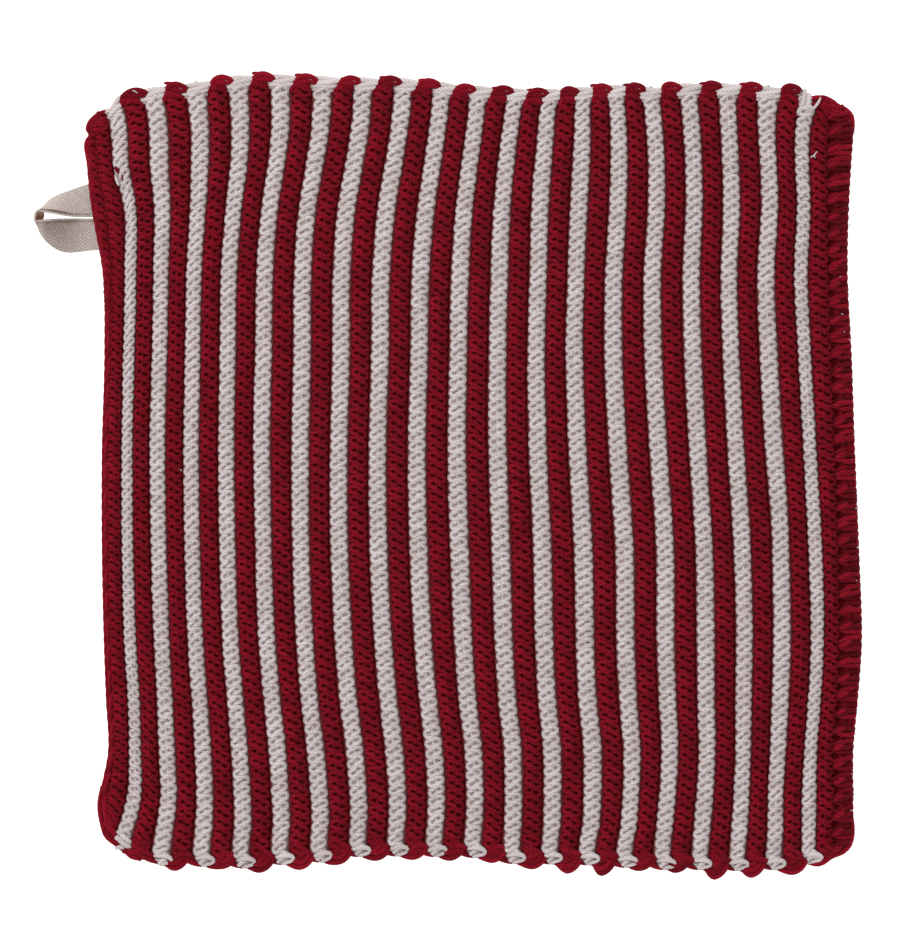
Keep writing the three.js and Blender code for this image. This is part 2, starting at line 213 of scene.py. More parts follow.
def tube_mesh(paths, radius, sides, flat=None, phase=0.0):
    """Closed tubes along paths (n, m, 3) with radius (n, m). flat squeezes them along Z.
    Returns points, quads, caps, uv (along in mm, around 0..1) and the tube number of each vertex."""
    n, m, _ = paths.shape
    radius = np.broadcast_to(radius, (n, m))
    along = np.gradient(paths, axis=1)
    along /= np.linalg.norm(along, axis=2, keepdims=True) + 1e-12
    up = np.zeros_like(paths)
    up[..., 2] = 1.0
    side = np.cross(along, up)
    weak = np.linalg.norm(side, axis=2) < 0.15
    side[weak] = np.cross(along[weak], np.array([0.31, 0.95, 0.0]))
    side /= np.linalg.norm(side, axis=2, keepdims=True)
    # keep the frame from turning over between two points
    for i in range(1, m):
        flip = np.einsum("ij,ij->i", side[:, i], side[:, i - 1]) < 0
        side[flip, i] *= -1
    lift = np.cross(side, along)
    angle = 2 * np.pi * (np.arange(sides) / sides) + phase
    ring = np.cos(angle)[None, None, :, None] * side[:, :, None, :] + np.sin(angle)[None, None, :, None] * lift[:, :, None, :]
    squeeze = 1.0 if flat is None else flat
    if flat is not None:
        ring = ring * np.array([1, 1, 1.0])
        ring = np.cos(angle)[None, None, :, None] * side[:, :, None, :] + squeeze * np.sin(angle)[None, None, :, None] * lift[:, :, None, :]
    points = paths[:, :, None, :] + radius[:, :, None, None] * ring
    number = (np.arange(n)[:, None, None] * m + np.arange(m)[None, :, None]) * sides + np.arange(sides)[None, None, :]
    nxt = np.roll(number, -1, axis=2)
    quads = np.stack([number[:, :-1], nxt[:, :-1], nxt[:, 1:], number[:, 1:]], axis=-1).reshape(-1, 4)
    first = number[:, 0, ::-1].reshape(-1, sides)
    last = number[:, -1].reshape(-1, sides)
    length = np.concatenate([np.zeros((n, 1)), np.cumsum(np.linalg.norm(np.diff(paths, axis=1), axis=2), axis=1)], axis=1)
    u0 = np.broadcast_to(length[:, :-1, None], (n, m - 1, sides))
    u1 = np.broadcast_to(length[:, 1:, None], (n, m - 1, sides))
    v0 = np.broadcast_to(np.arange(sides)[None, None, :] / sides, (n, m - 1, sides))
    v1 = v0 + 1 / sides
    uv = np.stack([np.stack([u0, v0], -1), np.stack([u0, v1], -1), np.stack([u1, v1], -1), np.stack([u1, v0], -1)], axis=3).reshape(-1, 2)
    cap_uv = np.zeros((n * sides, 2))
    which = np.repeat(np.arange(n), m * sides)
    return points.reshape(-1, 3), quads, first, last, uv, cap_uv, which


class Batch:
    """Collects tubes and turns them into one object."""

    def __init__(self):
        self.points, self.quads, self.caps, self.uv, self.cap_uv, self.values = [], [], {}, [], [], {}
        self.count = 0

    def add(self, paths, radius, sides=6, flat=None, phase=0.0, **values):
        paths = np.asarray(paths, float)
        p, q, first, last, uv, cap_uv, which = tube_mesh(paths, radius, sides, flat, phase)
        self.points.append(p)
        self.quads.append(q + self.count)
        self.caps.setdefault(sides, []).extend([first + self.count, last + self.count])
        self.uv.append(uv)
        for key, v in values.items():
            v = np.broadcast_to(np.asarray(v, float), (len(paths),))
            self.values.setdefault(key, []).append(v[which])
        self.count += len(p)

    def build(self, name, material):
        faces = [np.concatenate(self.quads)]
        uv = [np.concatenate(self.uv)]
        for sides, caps in self.caps.items():
            c = np.concatenate(caps)
            faces.append(c)
            uv.append(np.zeros((c.size, 2)))
        values = {k: np.concatenate(v) for k, v in self.values.items()}
        points = np.concatenate(self.points)
        points[:, 2] = np.maximum(points[:, 2], 0.02)  # nothing reaches below the surface the cloth lies on
        return make_object(name, points, faces, [material], uv=np.concatenate(uv), values=values)

    def triangles(self):
        return sum(2 * len(q) for q in self.quads) + sum((s - 2) * sum(len(c) for c in cs) for s, cs in self.caps.items())


# ---------------------------------------------------------------- materials
def nodes_of(name):
    material = bpy.data.materials.new(name)
    material.use_nodes = True
    tree = material.node_tree
    shader = tree.nodes["Principled BSDF"]
    return material, tree, shader


def math_node(tree, operation, a, b=None, clamp=False):
    node = tree.nodes.new("ShaderNodeMath")
    node.operation = operation
    node.use_clamp = clamp
    for i, v in enumerate((a, b)):
        if v is None:
            continue
        if isinstance(v, (int, float)):
            node.inputs[i].default_value = v
        else:
            tree.links.new(v, node.inputs[i])
    return node.outputs[0]


def yarn_material(name, dark, mid, light, plies=4, lay=4.6, bump=0.22, roughness=0.92, sheen=0.35):
    """Plied cotton yarn. The plies run round the yarn from the mesh's along/around coordinates."""
    material, tree, shader = nodes_of(name)
    link = tree.links.new
    uv = tree.nodes.new("ShaderNodeUVMap")
    uv.uv_map = "Along"
    split = tree.nodes.new("ShaderNodeSeparateXYZ")
    link(uv.outputs[0], split.inputs[0])
    turns = math_node(tree, "MULTIPLY", split.outputs[1], plies)
    run = math_node(tree, "MULTIPLY", split.outputs[0], plies / lay)
    total = math_node(tree, "MULTIPLY", math_node(tree, "ADD", turns, run), math.pi)
    ply = math_node(tree, "ABSOLUTE", math_node(tree, "SINE", total))
    fuzz = tree.nodes.new("ShaderNodeTexNoise")
    fuzz.inputs["Scale"].default_value = 2600
    fuzz.inputs["Detail"].default_value = 3
    coords = tree.nodes.new("ShaderNodeTexCoord")
    link(coords.outputs["Object"], fuzz.inputs["Vector"])
    tone = tree.nodes.new("ShaderNodeAttribute")
    tone.attribute_name = "tone"
    level = math_node(tree, "MULTIPLY", ply, 0.38)
    level = math_node(tree, "ADD", level, math_node(tree, "MULTIPLY", tone.outputs["Fac"], 0.34))
    level = math_node(tree, "ADD", level, math_node(tree, "MULTIPLY", fuzz.outputs["Fac"], 0.42))
    ramp = tree.nodes.new("ShaderNodeValToRGB")
    ramp.color_ramp.elements[0].position, ramp.color_ramp.elements[0].color = 0.12, (*dark, 1)
    ramp.color_ramp.elements[1].position, ramp.color_ramp.elements[1].color = 0.95, (*light, 1)
    middle = ramp.color_ramp.elements.new(0.52)
    middle.color = (*mid, 1)
    link(level, ramp.inputs["Fac"])
    link(ramp.outputs["Color"], shader.inputs["Base Color"])
    height = math_node(tree, "ADD", ply, math_node(tree, "MULTIPLY", fuzz.outputs["Fac"], 0.35))
    bump_node = tree.nodes.new("ShaderNodeBump")
    bump_node.inputs["Strength"].default_value = 0.6
    bump_node.inputs["Distance"].default_value = bump * MM
    link(height, bump_node.inputs["Height"])
    link(bump_node.outputs["Normal"], shader.inputs["Normal"])
    shader.inputs["Roughness"].default_value = roughness
    shader.inputs["Specular IOR Level"].default_value = 0.05
    shader.inputs["Sheen Weight"].default_value = sheen
    shader.inputs["Sheen Roughness"].default_value = 0.6
    return material


def srgb(r, g, b):
    return tuple((v / 255 / 12.92) if v / 255 <= 0.04045 else ((v / 255 + 0.055) / 1.055) ** 2.4 for v in (r, g, b))


RED = yarn_material("yarn_red", srgb(75, 7, 14), srgb(111, 11, 25), srgb(151, 17, 39), sheen=0.02)
CREAM = yarn_material("yarn_off_white", srgb(184, 171, 170), srgb(205, 193, 192), srgb(224, 215, 214), sheen=0.02)


def ground_material(name, red, between, pale):
    """The fabric under the ridges, from red to off-white by the mesh's "pale" values, in colours darker than the
    yarns': painted shade in the valleys and the dimples.
    """
    material, tree, shader = nodes_of(name)
    link = tree.links.new
    noise = tree.nodes.new("ShaderNodeTexNoise")
    noise.inputs["Scale"].default_value = 1500
    noise.inputs["Detail"].default_value = 4
    coords = tree.nodes.new("ShaderNodeTexCoord")
    link(coords.outputs["Object"], noise.inputs["Vector"])
    share = tree.nodes.new("ShaderNodeAttribute")
    share.attribute_name = "pale"
    level = math_node(tree, "ADD", share.outputs["Fac"], math_node(tree, "MULTIPLY", math_node(tree, "SUBTRACT", noise.outputs["Fac"], 0.5), 0.3))
    ramp = tree.nodes.new("ShaderNodeValToRGB")
    ramp.color_ramp.elements[0].position, ramp.color_ramp.elements[0].color = 0.1, (*red, 1)
    ramp.color_ramp.elements[1].position, ramp.color_ramp.elements[1].color = 0.9, (*pale, 1)
    middle = ramp.color_ramp.elements.new(0.5)
    middle.color = (*between, 1)
    link(level, ramp.inputs["Fac"])
    link(ramp.outputs["Color"], shader.inputs["Base Color"])
    bump_node = tree.nodes.new("ShaderNodeBump")
    bump_node.inputs["Strength"].default_value = 0.6
    bump_node.inputs["Distance"].default_value = 0.2 * MM
    link(noise.outputs["Fac"], bump_node.inputs["Height"])
    link(bump_node.outputs["Normal"], shader.inputs["Normal"])
    shader.inputs["Roughness"].default_value = 0.95
    shader.inputs["Specular IOR Level"].default_value = 0.03
    return material


# the ground's colours are darker than the yarns': painted shade in the valleys and the dimples
GROUND_WITH_PAINTED_SHADE = ground_material("ground_cotton_painted_shade", srgb(86, 10, 18), srgb(128, 64, 66), srgb(184, 170, 168))

# ---------------------------------------------------------------- camera and light, first
scene = bpy.context.scene
camera_data = bpy.data.cameras.new("camera")
camera = bpy.data.objects.new("camera", camera_data)
scene.collection.objects.link(camera)
MM_PER_PIXEL = 0.316
CAMERA_HEIGHT = 1500.0
camera_data.sensor_fit = "VERTICAL"
camera_data.sensor_height = 24.0
camera_data.lens = 24.0 * CAMERA_HEIGHT / (940 * MM_PER_PIXEL)
camera_data.clip_end = 10
camera.location = ((453 - 448) * MM_PER_PIXEL * MM - SHIFT[0] * MM, (474.5 - 470) * MM_PER_PIXEL * MM - SHIFT[1] * MM, (CAMERA_HEIGHT + 2) * MM)
camera.rotation_euler = (0, 0, 0)
scene.camera = camera

world = bpy.data.worlds.new("studio")
scene.world = world
world.use_nodes = True
world.node_tree.nodes["Background"].inputs["Color"].default_value = (1, 1, 1, 1)
world.node_tree.nodes["Background"].inputs["Strength"].default_value = 0.765


def area_light(name, location, target, size, power):
    data = bpy.data.lights.new(name, "AREA")
    data.shape = "SQUARE"
    data.size = size
    data.energy = power
    obj = bpy.data.objects.new(name, data)
    scene.collection.objects.link(obj)
    obj.location = location
    direction = np.array(target) - np.array(location)
    from mathutils import Vector
    obj.rotation_euler = Vector(direction).to_track_quat("-Z", "Y").to_euler()
    return obj


area_light("key", (-0.62, 0.72, 1.1), (0, 0, 0), 0.35, 7.5)
scene.view_settings.view_transform = "Standard"
scene.view_settings.look = "None"
scene.view_settings.exposure = 0
scene.view_settings.gamma = 1

floor_mesh = bpy.data.meshes.new("floor")
floor_mesh.from_pydata([(-3, -3, 0), (3, -3, 0), (3, 3, 0), (-3, 3, 0)], [], [(0, 1, 2, 3)])
floor = bpy.data.objects.new("floor", floor_mesh)
scene.collection.objects.link(floor)
floor_material, floor_tree, floor_shader = nodes_of("floor_white")
floor_shader.inputs["Base Color"].default_value = (0.92, 0.92, 0.92, 1)
floor_shader.inputs["Roughness"].default_value = 1.0
floor_shader.inputs["Specular IOR Level"].default_value = 0.0
floor_shader.inputs["Emission Color"].default_value = (1, 1, 1, 1)
floor_shader.inputs["Emission Strength"].default_value = 0.8
floor_mesh.materials.append(floor_material)
floor.location.z = -0.0002

# ---------------------------------------------------------------- the knitted ridges
rng = np.random.default_rng(20)
PITCH = 3.0  # mean length of a stitch along a ridge, for the noise only


def ridge_rise(ridge):
    return 0.0


def stitch_noise(ridge, stitch, seed, scale_a=2.0, scale_s=6.0):
    """Smooth noise over the cloth, about -1 to 1."""
    r = np.random.default_rng(seed)
    na, ns = int(STRIPES / scale_a) + 4, int(STITCHES / scale_s) + 4
    grid = r.uniform(-1, 1, (na, ns))
    a = np.clip(np.asarray(ridge, float) / scale_a + 1, 0, na - 1.001)
    s = np.clip(np.asarray(stitch, float) / scale_s + 1, 0, ns - 1.001)
    i, j = a.astype(int), s.astype(int)
    fa, fs = a - i, s - j
    fa, fs = fa * fa * (3 - 2 * fa), fs * fs * (3 - 2 * fs)
    return grid[i, j] * (1 - fa) * (1 - fs) + grid[i + 1, j] * fa * (1 - fs) + grid[i, j + 1] * (1 - fa) * fs + grid[i + 1, j + 1] * fa * fs


ARC_POINTS = 9
YARN_RADIUS = 0.69
ARC_SPAN = 104.0  # degrees that an arc goes round to each side
# how far the arcs of the left and right columns stand out from the ridge's middle, in ridge widths; how much thicker
# the yarn looks at their crowns; how far the right-hand arcs stand above the left-hand ones, and half of an arc's
# height, in stitches; height of the legs over the ridge's middle and their fall towards its flank, in mm; where the
# legs dip between the two columns, in ridge widths, and how deep, in mm
STITCH = {
    # out_left, out_right, crown_left, crown_right, stagger, half, top, fall, dip_at, dip
    "off_white": (0.320, 0.350, 1.16, 1.30, 0.40, 0.400, 3.45, 4.0, -0.03, 0.70),
    "red": (0.366, 0.378, 1.18, 1.18, -0.40, 0.390, 3.40, 3.4, 0.02, 0.80),
}
RED_CLEAR, CREAM_CLEAR = (4.7, 5.4), (5.7, 5.9)  # mm from the bottom and top lines to the middle of the first and last arc
ARCS = 78   # to a column, fewer on the short first ridge


def arc_shapes(kind, side, n):
    """The shapes of n arcs about their middles: across in ridge widths, along in stitches, z and radius in mm."""
    out_left, out_right, crown_left, crown_right, stagger, half_height, top_height, fall, dip_at, dip = STITCH[kind]
    out = (out_right if side > 0 else out_left) + rng.normal(0, 0.014, n)
    half = half_height + rng.normal(0, 0.020, n)
    top = top_height + rng.normal(0, 0.08, n)
    reach = (out + 0.08 - side * dip_at) / 1.32
    phi = np.linspace(-1, 1, ARC_POINTS) * math.radians(ARC_SPAN)
    c, sn = np.cos(phi), np.sin(phi)
    crown = 1 + ((crown_right if side > 0 else crown_left) - 1) * np.clip(c, 0, None) ** 2
    c = np.sign(c) * np.abs(c) ** 0.8
    sn = np.sign(sn) * np.abs(sn) ** 0.9
    u = side * ((out - reach)[:, None] + reach[:, None] * c[None, :])
    # the legs slant over the ridge's middle towards those of the other column, and run on into them
    slant = 0.5 * stagger * np.sin(0.5 * np.pi * np.clip((u - dip_at) / 0.14, -1, 1))
    along = slant + half[:, None] * sn[None, :] + rng.normal(0, 0.04, n)[:, None]
    z = top[:, None] - fall * np.abs(2 * u) ** 2.2 - 0.35 * ease((np.abs(np.degrees(phi)) - 80) / 24)[None, :]
    z = z - dip * np.exp(-((u - dip_at) / 0.055) ** 2)
    radius = YARN_RADIUS * (1 + rng.normal(0, 0.045, n))[:, None] * crown[None, :]
    radius[:, 0] *= 0.8
    radius[:, -1] *= 0.8
    return u, along, z, radius


def arcs(ridge, red, side):
    """Centre lines of the arcs of one ridge: side 1 is the right-hand column, -1 the left one."""
    kind = "red" if red else "off_white"
    stagger = STITCH[kind][4]
    low, high = end_line(np.array([ridge + 0.5]), -1)[0], end_line(np.array([ridge + 0.5]), 1)[0]
    clear = (4.7, 2.6) if ridge == STRIPES - 1 else (7.6, 5.4) if ridge == 0 else RED_CLEAR if red else (5.7, 7.4) if ridge in (1, STRIPES - 2) else CREAM_CLEAR
    count = ARCS - (3 if ridge == 0 else 0)
    first, last = STITCHES * clear[0] / (high - low), STITCHES * (1 - clear[1] / (high - low))
    # the lower column has one more arc at the top, the upper column one more at the bottom, half sunk under the edge yarns
    j = np.arange(count + 1) / (count - 1)
    if side * stagger > 0:
        j = j - 1 / (count - 1)
    elif ridge == STRIPES - 1:
        j = j[:-1]
    centre = first + (last - first) * j
    centre = centre + 0.25 * stitch_noise(ridge + 0.5, centre, 5, 2.5, 5) * ease(6 * j) * ease(6 * (1 - j))
    n = len(centre)
    u, along, z, radius = arc_shapes(kind, side, n)
    sunk = (j < -1e-6) | (j > 1 + 1e-6)
    z = z - np.where(sunk, 0.75, 0.0)[:, None]
    s = centre[:, None] + along
    a = 0.5 + u * (1 if red else 1 - 0.10 * ease((4.6 - s) / 2.4))
    if ridge == 0:
        # the first ridge gives part of its width to the rolled edge, and is pulled askew near the tape
        askew = ease((s - 52) / 10) * ease((80 - s) / 5)
        give = 0.24 + 0.10 * askew
        a = give + (1 - give) * a
        s = s - 0.4 * askew * (a - 0.5)
        z = z - 0.3 * askew
    middle = place(ridge + 0.5, centre + side * stagger / 2, 0)[:, 1] + SHIFT[1]
    width = sway(np.full(n, ridge + 1.0), middle) - sway(np.full(n, float(ridge)), middle)
    about = ridge + 0.5 if ridge in (0, STRIPES - 1) else None
    return place(ridge + a, np.clip(s, 0.2, STITCHES - 0.2), z, about), radius * np.clip((width / 6.2) ** 0.3, 0.86, 1.05)[:, None]


knit = {}
for k in range(STRIPES):
    red = k % 2 == 0
    name = ("knit_red" if red else "knit_off_white") + ("_left" if k < 20 else "_right")
    batch = knit.setdefault(name, Batch())
    for side in (-1, 1):
        paths, radius = arcs(k, red, side)
        tone = rng.uniform(0, 1, len(paths))
        # painted light: the red arcs of the left-hand column are lighter, as the light falls from the left
        if red:
            tone = tone * 0.7 + (0.3 if side < 0 else 0.0)
        batch.add(paths, radius, 6, tone=tone)
    # a cord under the slanting legs
    s = np.arange(1.5, STITCHES - 1.6, 0.8)
    cord = place(k + ((0.485 if red else 0.515) if k else 0.62), s, (2.78 if not red else 2.60) + rng.normal(0, 0.10, len(s)))
    batch.add(cord[None], 0.48 + rng.normal(0, 0.04, (1, len(s))), 5, tone=0.4)
knit_pieces = [batch.build(name, RED if "red" in name else CREAM) for name, batch in knit.items()]

# ---------------------------------------------------------------- single yarns of the edges
red_edge, cream_edge, hem_batch = Batch(), Batch(), Batch()


def strand(batch, rows, count=9, sides=8, tone=None):
    """One yarn through rows of (x, y, z, radius), in the tables' millimetres."""
    rows = np.asarray(rows, float)
    kept = [rows[0]]
    for row in rows[1:-1]:
        if np.linalg.norm(row[:3] - kept[-1][:3]) > 0.5 and np.linalg.norm(row[:3] - rows[-1, :3]) > 0.4:
            kept.append(row)
    rows = np.array(kept + [rows[-1]])
    at = np.concatenate([[0], np.cumsum(np.linalg.norm(np.diff(rows[:, :3], axis=0), axis=1) + 1e-6)])
    v = smooth(at, rows.T, np.linspace(0, at[-1], count)).T
    batch.add((v[:, :3] - SHIFT)[None], v[None, :, 3], sides, tone=rng.uniform(0, 1) if tone is None else tone)


def turned(rows, degrees, size=1.0):
    rows = np.array(rows, float)
    c, n = math.cos(math.radians(degrees)), math.sin(math.radians(degrees))
    x, y = rows[:, 0] * c - rows[:, 1] * n, rows[:, 0] * n + rows[:, 1] * c
    rows[:, 0], rows[:, 1] = x * size, y * size
    return rows


def moved(rows, x, y):
    rows = np.array(rows, float)
    rows[:, 0] += x
    rows[:, 1] += y
    return rows


# A red ridge ends at the top edge in a flat loop that lies over to the right: x, y, z, radius about its highest point
LOOP = [(-4.2, -4.9, 1.8, 0.70), (-3.9, -3.3, 2.5, 0.84), (-2.7, -1.85, 2.8, 0.94), (-0.7, -1.02, 2.9, 1.00), (1.3, -1.25, 2.9, 0.98),
        (2.8, -2.00, 2.7, 0.86), (3.25, -2.60, 2.6, 0.72), (2.0, -2.62, 2.8, 0.80), (0.3, -2.50, 3.0, 0.88), (-1.5, -2.70, 2.9, 0.88),
        (-3.0, -3.8, 2.4, 0.76)]
LOOP_FILL = [(-3.2, -3.0, 1.7, 0.8), (-1.8, -1.95, 2.2, 0.95), (0.2, -1.85, 2.35, 1.0), (2.3, -2.15, 2.1, 0.85)]
TUFT = [(-3.75, -0.85, 1.8, 0.40), (-2.9, -0.80, 2.2, 0.58), (-1.8, -0.90, 2.5, 0.68), (0.0, -1.1, 2.4, 0.64)]
LOOP_SPOT = [(0.75, -1.75, 3.4, 0.04), (1.1, -1.82, 3.74, 0.06), (1.5, -1.95, 3.72, 0.06), (1.8, -2.05, 3.4, 0.04)]
SHOULDER = [(-4.75, -6.6, 2.0, 0.62), (-4.7, -5.2, 2.4, 0.76), (-4.0, -4.1, 2.6, 0.82), (-2.4, -3.75, 2.7, 0.84), (-0.8, -3.85, 2.7, 0.82),
            (0.4, -4.2, 2.4, 0.74), (0.9, -5.0, 1.8, 0.6)]
SHOULDER_FILL = [(-3.9, -5.4, 1.9, 0.8), (-2.6, -4.7, 2.3, 0.86), (-1.0, -4.6, 2.3, 0.86), (0.2, -5.2, 1.9, 0.8)]
# the first loop is open, and a little of the off-white yarn shows in it
FIRST_SPOT = [(-1.6, -0.75, 3.3, 0.12), (-0.9, -1.0, 3.95, 0.24), (-0.2, -1.35, 3.95, 0.20), (0.5, -1.9, 3.4, 0.12)]
for number, (ridge, hook_x, hook_y, loop_x, loop_y, scallop_x, scallop_y) in enumerate(EDGE):
    tilt = rng.normal(0, 4) + (8 if ridge < 3 else 0)
    size = 1 + rng.normal(0, 0.03)
    rows_of = [(LOOP, 24), (LOOP_FILL, 8), (SHOULDER, 14), (SHOULDER_FILL, 8)] + ([(TUFT, 7)] if number and number % 3 != 2 else [])
    # towards the right of the cloth the ridges lie more to the right under their loops
    lean = np.clip(float(sway(ridge + 1.0, loop_y - 5.5)) + 0.85 - (loop_x - 4.75), -0.5, 2.2) if number else -0.3
    for rows, count in rows_of:
        rows, under = turned(rows, tilt, size), rows is SHOULDER or rows is SHOULDER_FILL
        if number == 0 and not under:
            rows[:, 0] *= np.where(rows[:, 0] < 0, 1.16, 1.0)  # the first one is longer
        share = ease((-1.0 - rows[:, 0]) / 1.5)
        rows[:, 0] += lean * np.clip((-rows[:, 1] - 0.9) / 3.2, 0, 1) * (share + (0.5 * (1 - share) if under else 0))
        strand(red_edge, moved(rows, loop_x, loop_y + 0.22), count)
    if number % 4 in (0, 1, 2):
        strand(cream_edge, moved(turned(LOOP_SPOT if number else FIRST_SPOT, tilt, size), loop_x, loop_y), 6, 6, tone=0.0)

# The off-white yarn floats from the top of its ridge to the right, under the next loop: share of the way across,
# y below the line between the loops, z, radius
FLOATS = [
    [(0.10, -1.45, 1.4, 0.60), (0.26, -1.20, 2.1, 0.86), (0.50, -1.35, 2.3, 0.92), (0.74, -1.75, 2.1, 0.90), (0.95, -2.3, 1.3, 0.65)],
    [(0.05, -3.1, 1.5, 0.60), (0.24, -2.95, 2.5, 0.84), (0.46, -2.60, 2.9, 0.88), (0.68, -2.0, 2.6, 0.82), (0.92, -1.30, 1.6, 0.62)],
    [(0.05, -4.0, 1.5, 0.50), (0.20, -3.95, 2.4, 0.70), (0.42, -3.85, 2.75, 0.78), (0.62, -3.5, 2.5, 0.76), (0.80, -3.1, 1.6, 0.60)],
    [(0.08, -2.2, 1.0, 0.70), (0.30, -2.3, 1.5, 0.90), (0.55, -2.6, 1.6, 0.95), (0.85, -2.6, 1.0, 0.75)],
    [(0.06, -4.6, 0.9, 0.60), (0.25, -4.7, 1.6, 0.75), (0.50, -4.7, 1.7, 0.80), (0.76, -4.5, 1.0, 0.65)],
]
for rows in ([(-108.3, 114.3, 1.4, 0.60), (-107.2, 114.8, 2.2, 0.80), (-105.8, 115.9, 2.5, 0.86), (-105.0, 117.6, 2.5, 0.88), (-103.7, 119.0, 2.1, 0.84), (-102.3, 119.8, 1.0, 0.6)],
             [(-107.4, 112.6, 1.6, 0.60), (-106.3, 113.9, 2.5, 0.84), (-104.8, 115.6, 2.7, 0.86), (-103.2, 117.0, 2.2, 0.80), (-102.2, 117.8, 1.0, 0.6)],
             [(-105.6, 112.4, 2.0, 0.70), (-104.6, 113.8, 2.5, 0.80), (-103.4, 115.2, 2.1, 0.76), (-102.8, 116.2, 1.0, 0.6)],
             [(-107.4, 113.6, 1.2, 0.80), (-104.6, 116.0, 1.5, 0.90), (-102.6, 117.6, 1.0, 0.80)]):
    strand(cream_edge, rows, 10)
loops = [(row[3], row[4]) for row in EDGE]
for (lx, ly), (rx, ry) in zip(loops[:-1], loops[1:]):
    lift = rng.normal(0, 0.12)
    dip = {-85.6: 0.7, 58.8: 1.1, 95.7: 0.8}.get(lx, 0.0)  # some hang lower than the others
    for rows in FLOATS:
        share, down, z, radius = np.array(rows).T
        wave = rng.normal(0, 0.09, len(share))
        strand(cream_edge, np.column_stack([lx + (rx - lx) * share, ly + (ry - ly) * share + down + wave + lift * (share - 0.5) - dip * np.sin(np.pi * np.clip(share, 0, 1)), z, radius]), 12)

# An off-white ridge ends at the bottom edge in a flat hook to the right, about the middle of its small ring
HOOK = [(-3.9, 0.25, 1.6, 0.55), (-3.0, 0.65, 2.5, 0.74), (-1.6, 0.98, 3.0, 0.82), (0.2, 0.96, 3.1, 0.78), (1.45, 0.48, 2.9, 0.68),
        (1.85, -0.22, 2.6, 0.60), (1.2, -0.88, 2.3, 0.58), (-0.2, -1.30, 2.1, 0.56), (-1.8, -1.66, 1.7, 0.46)]
HOOK_UPPER = [(-3.7, 1.9, 1.8, 0.62), (-2.8, 2.2, 2.6, 0.74), (-1.6, 2.2, 2.8, 0.76), (-0.5, 1.7, 2.6, 0.68), (0.5, 1.1, 2.2, 0.55)]
HOOK_UNDER = [(-3.4, -0.45, 1.0, 0.62), (-1.4, -0.38, 1.3, 0.66), (0.9, -0.3, 1.2, 0.62)]
HOOK_STUB = [(-3.0, -1.20, 0.8, 0.55), (-1.7, -1.75, 1.1, 0.62), (-0.3, -1.85, 1.1, 0.55)]
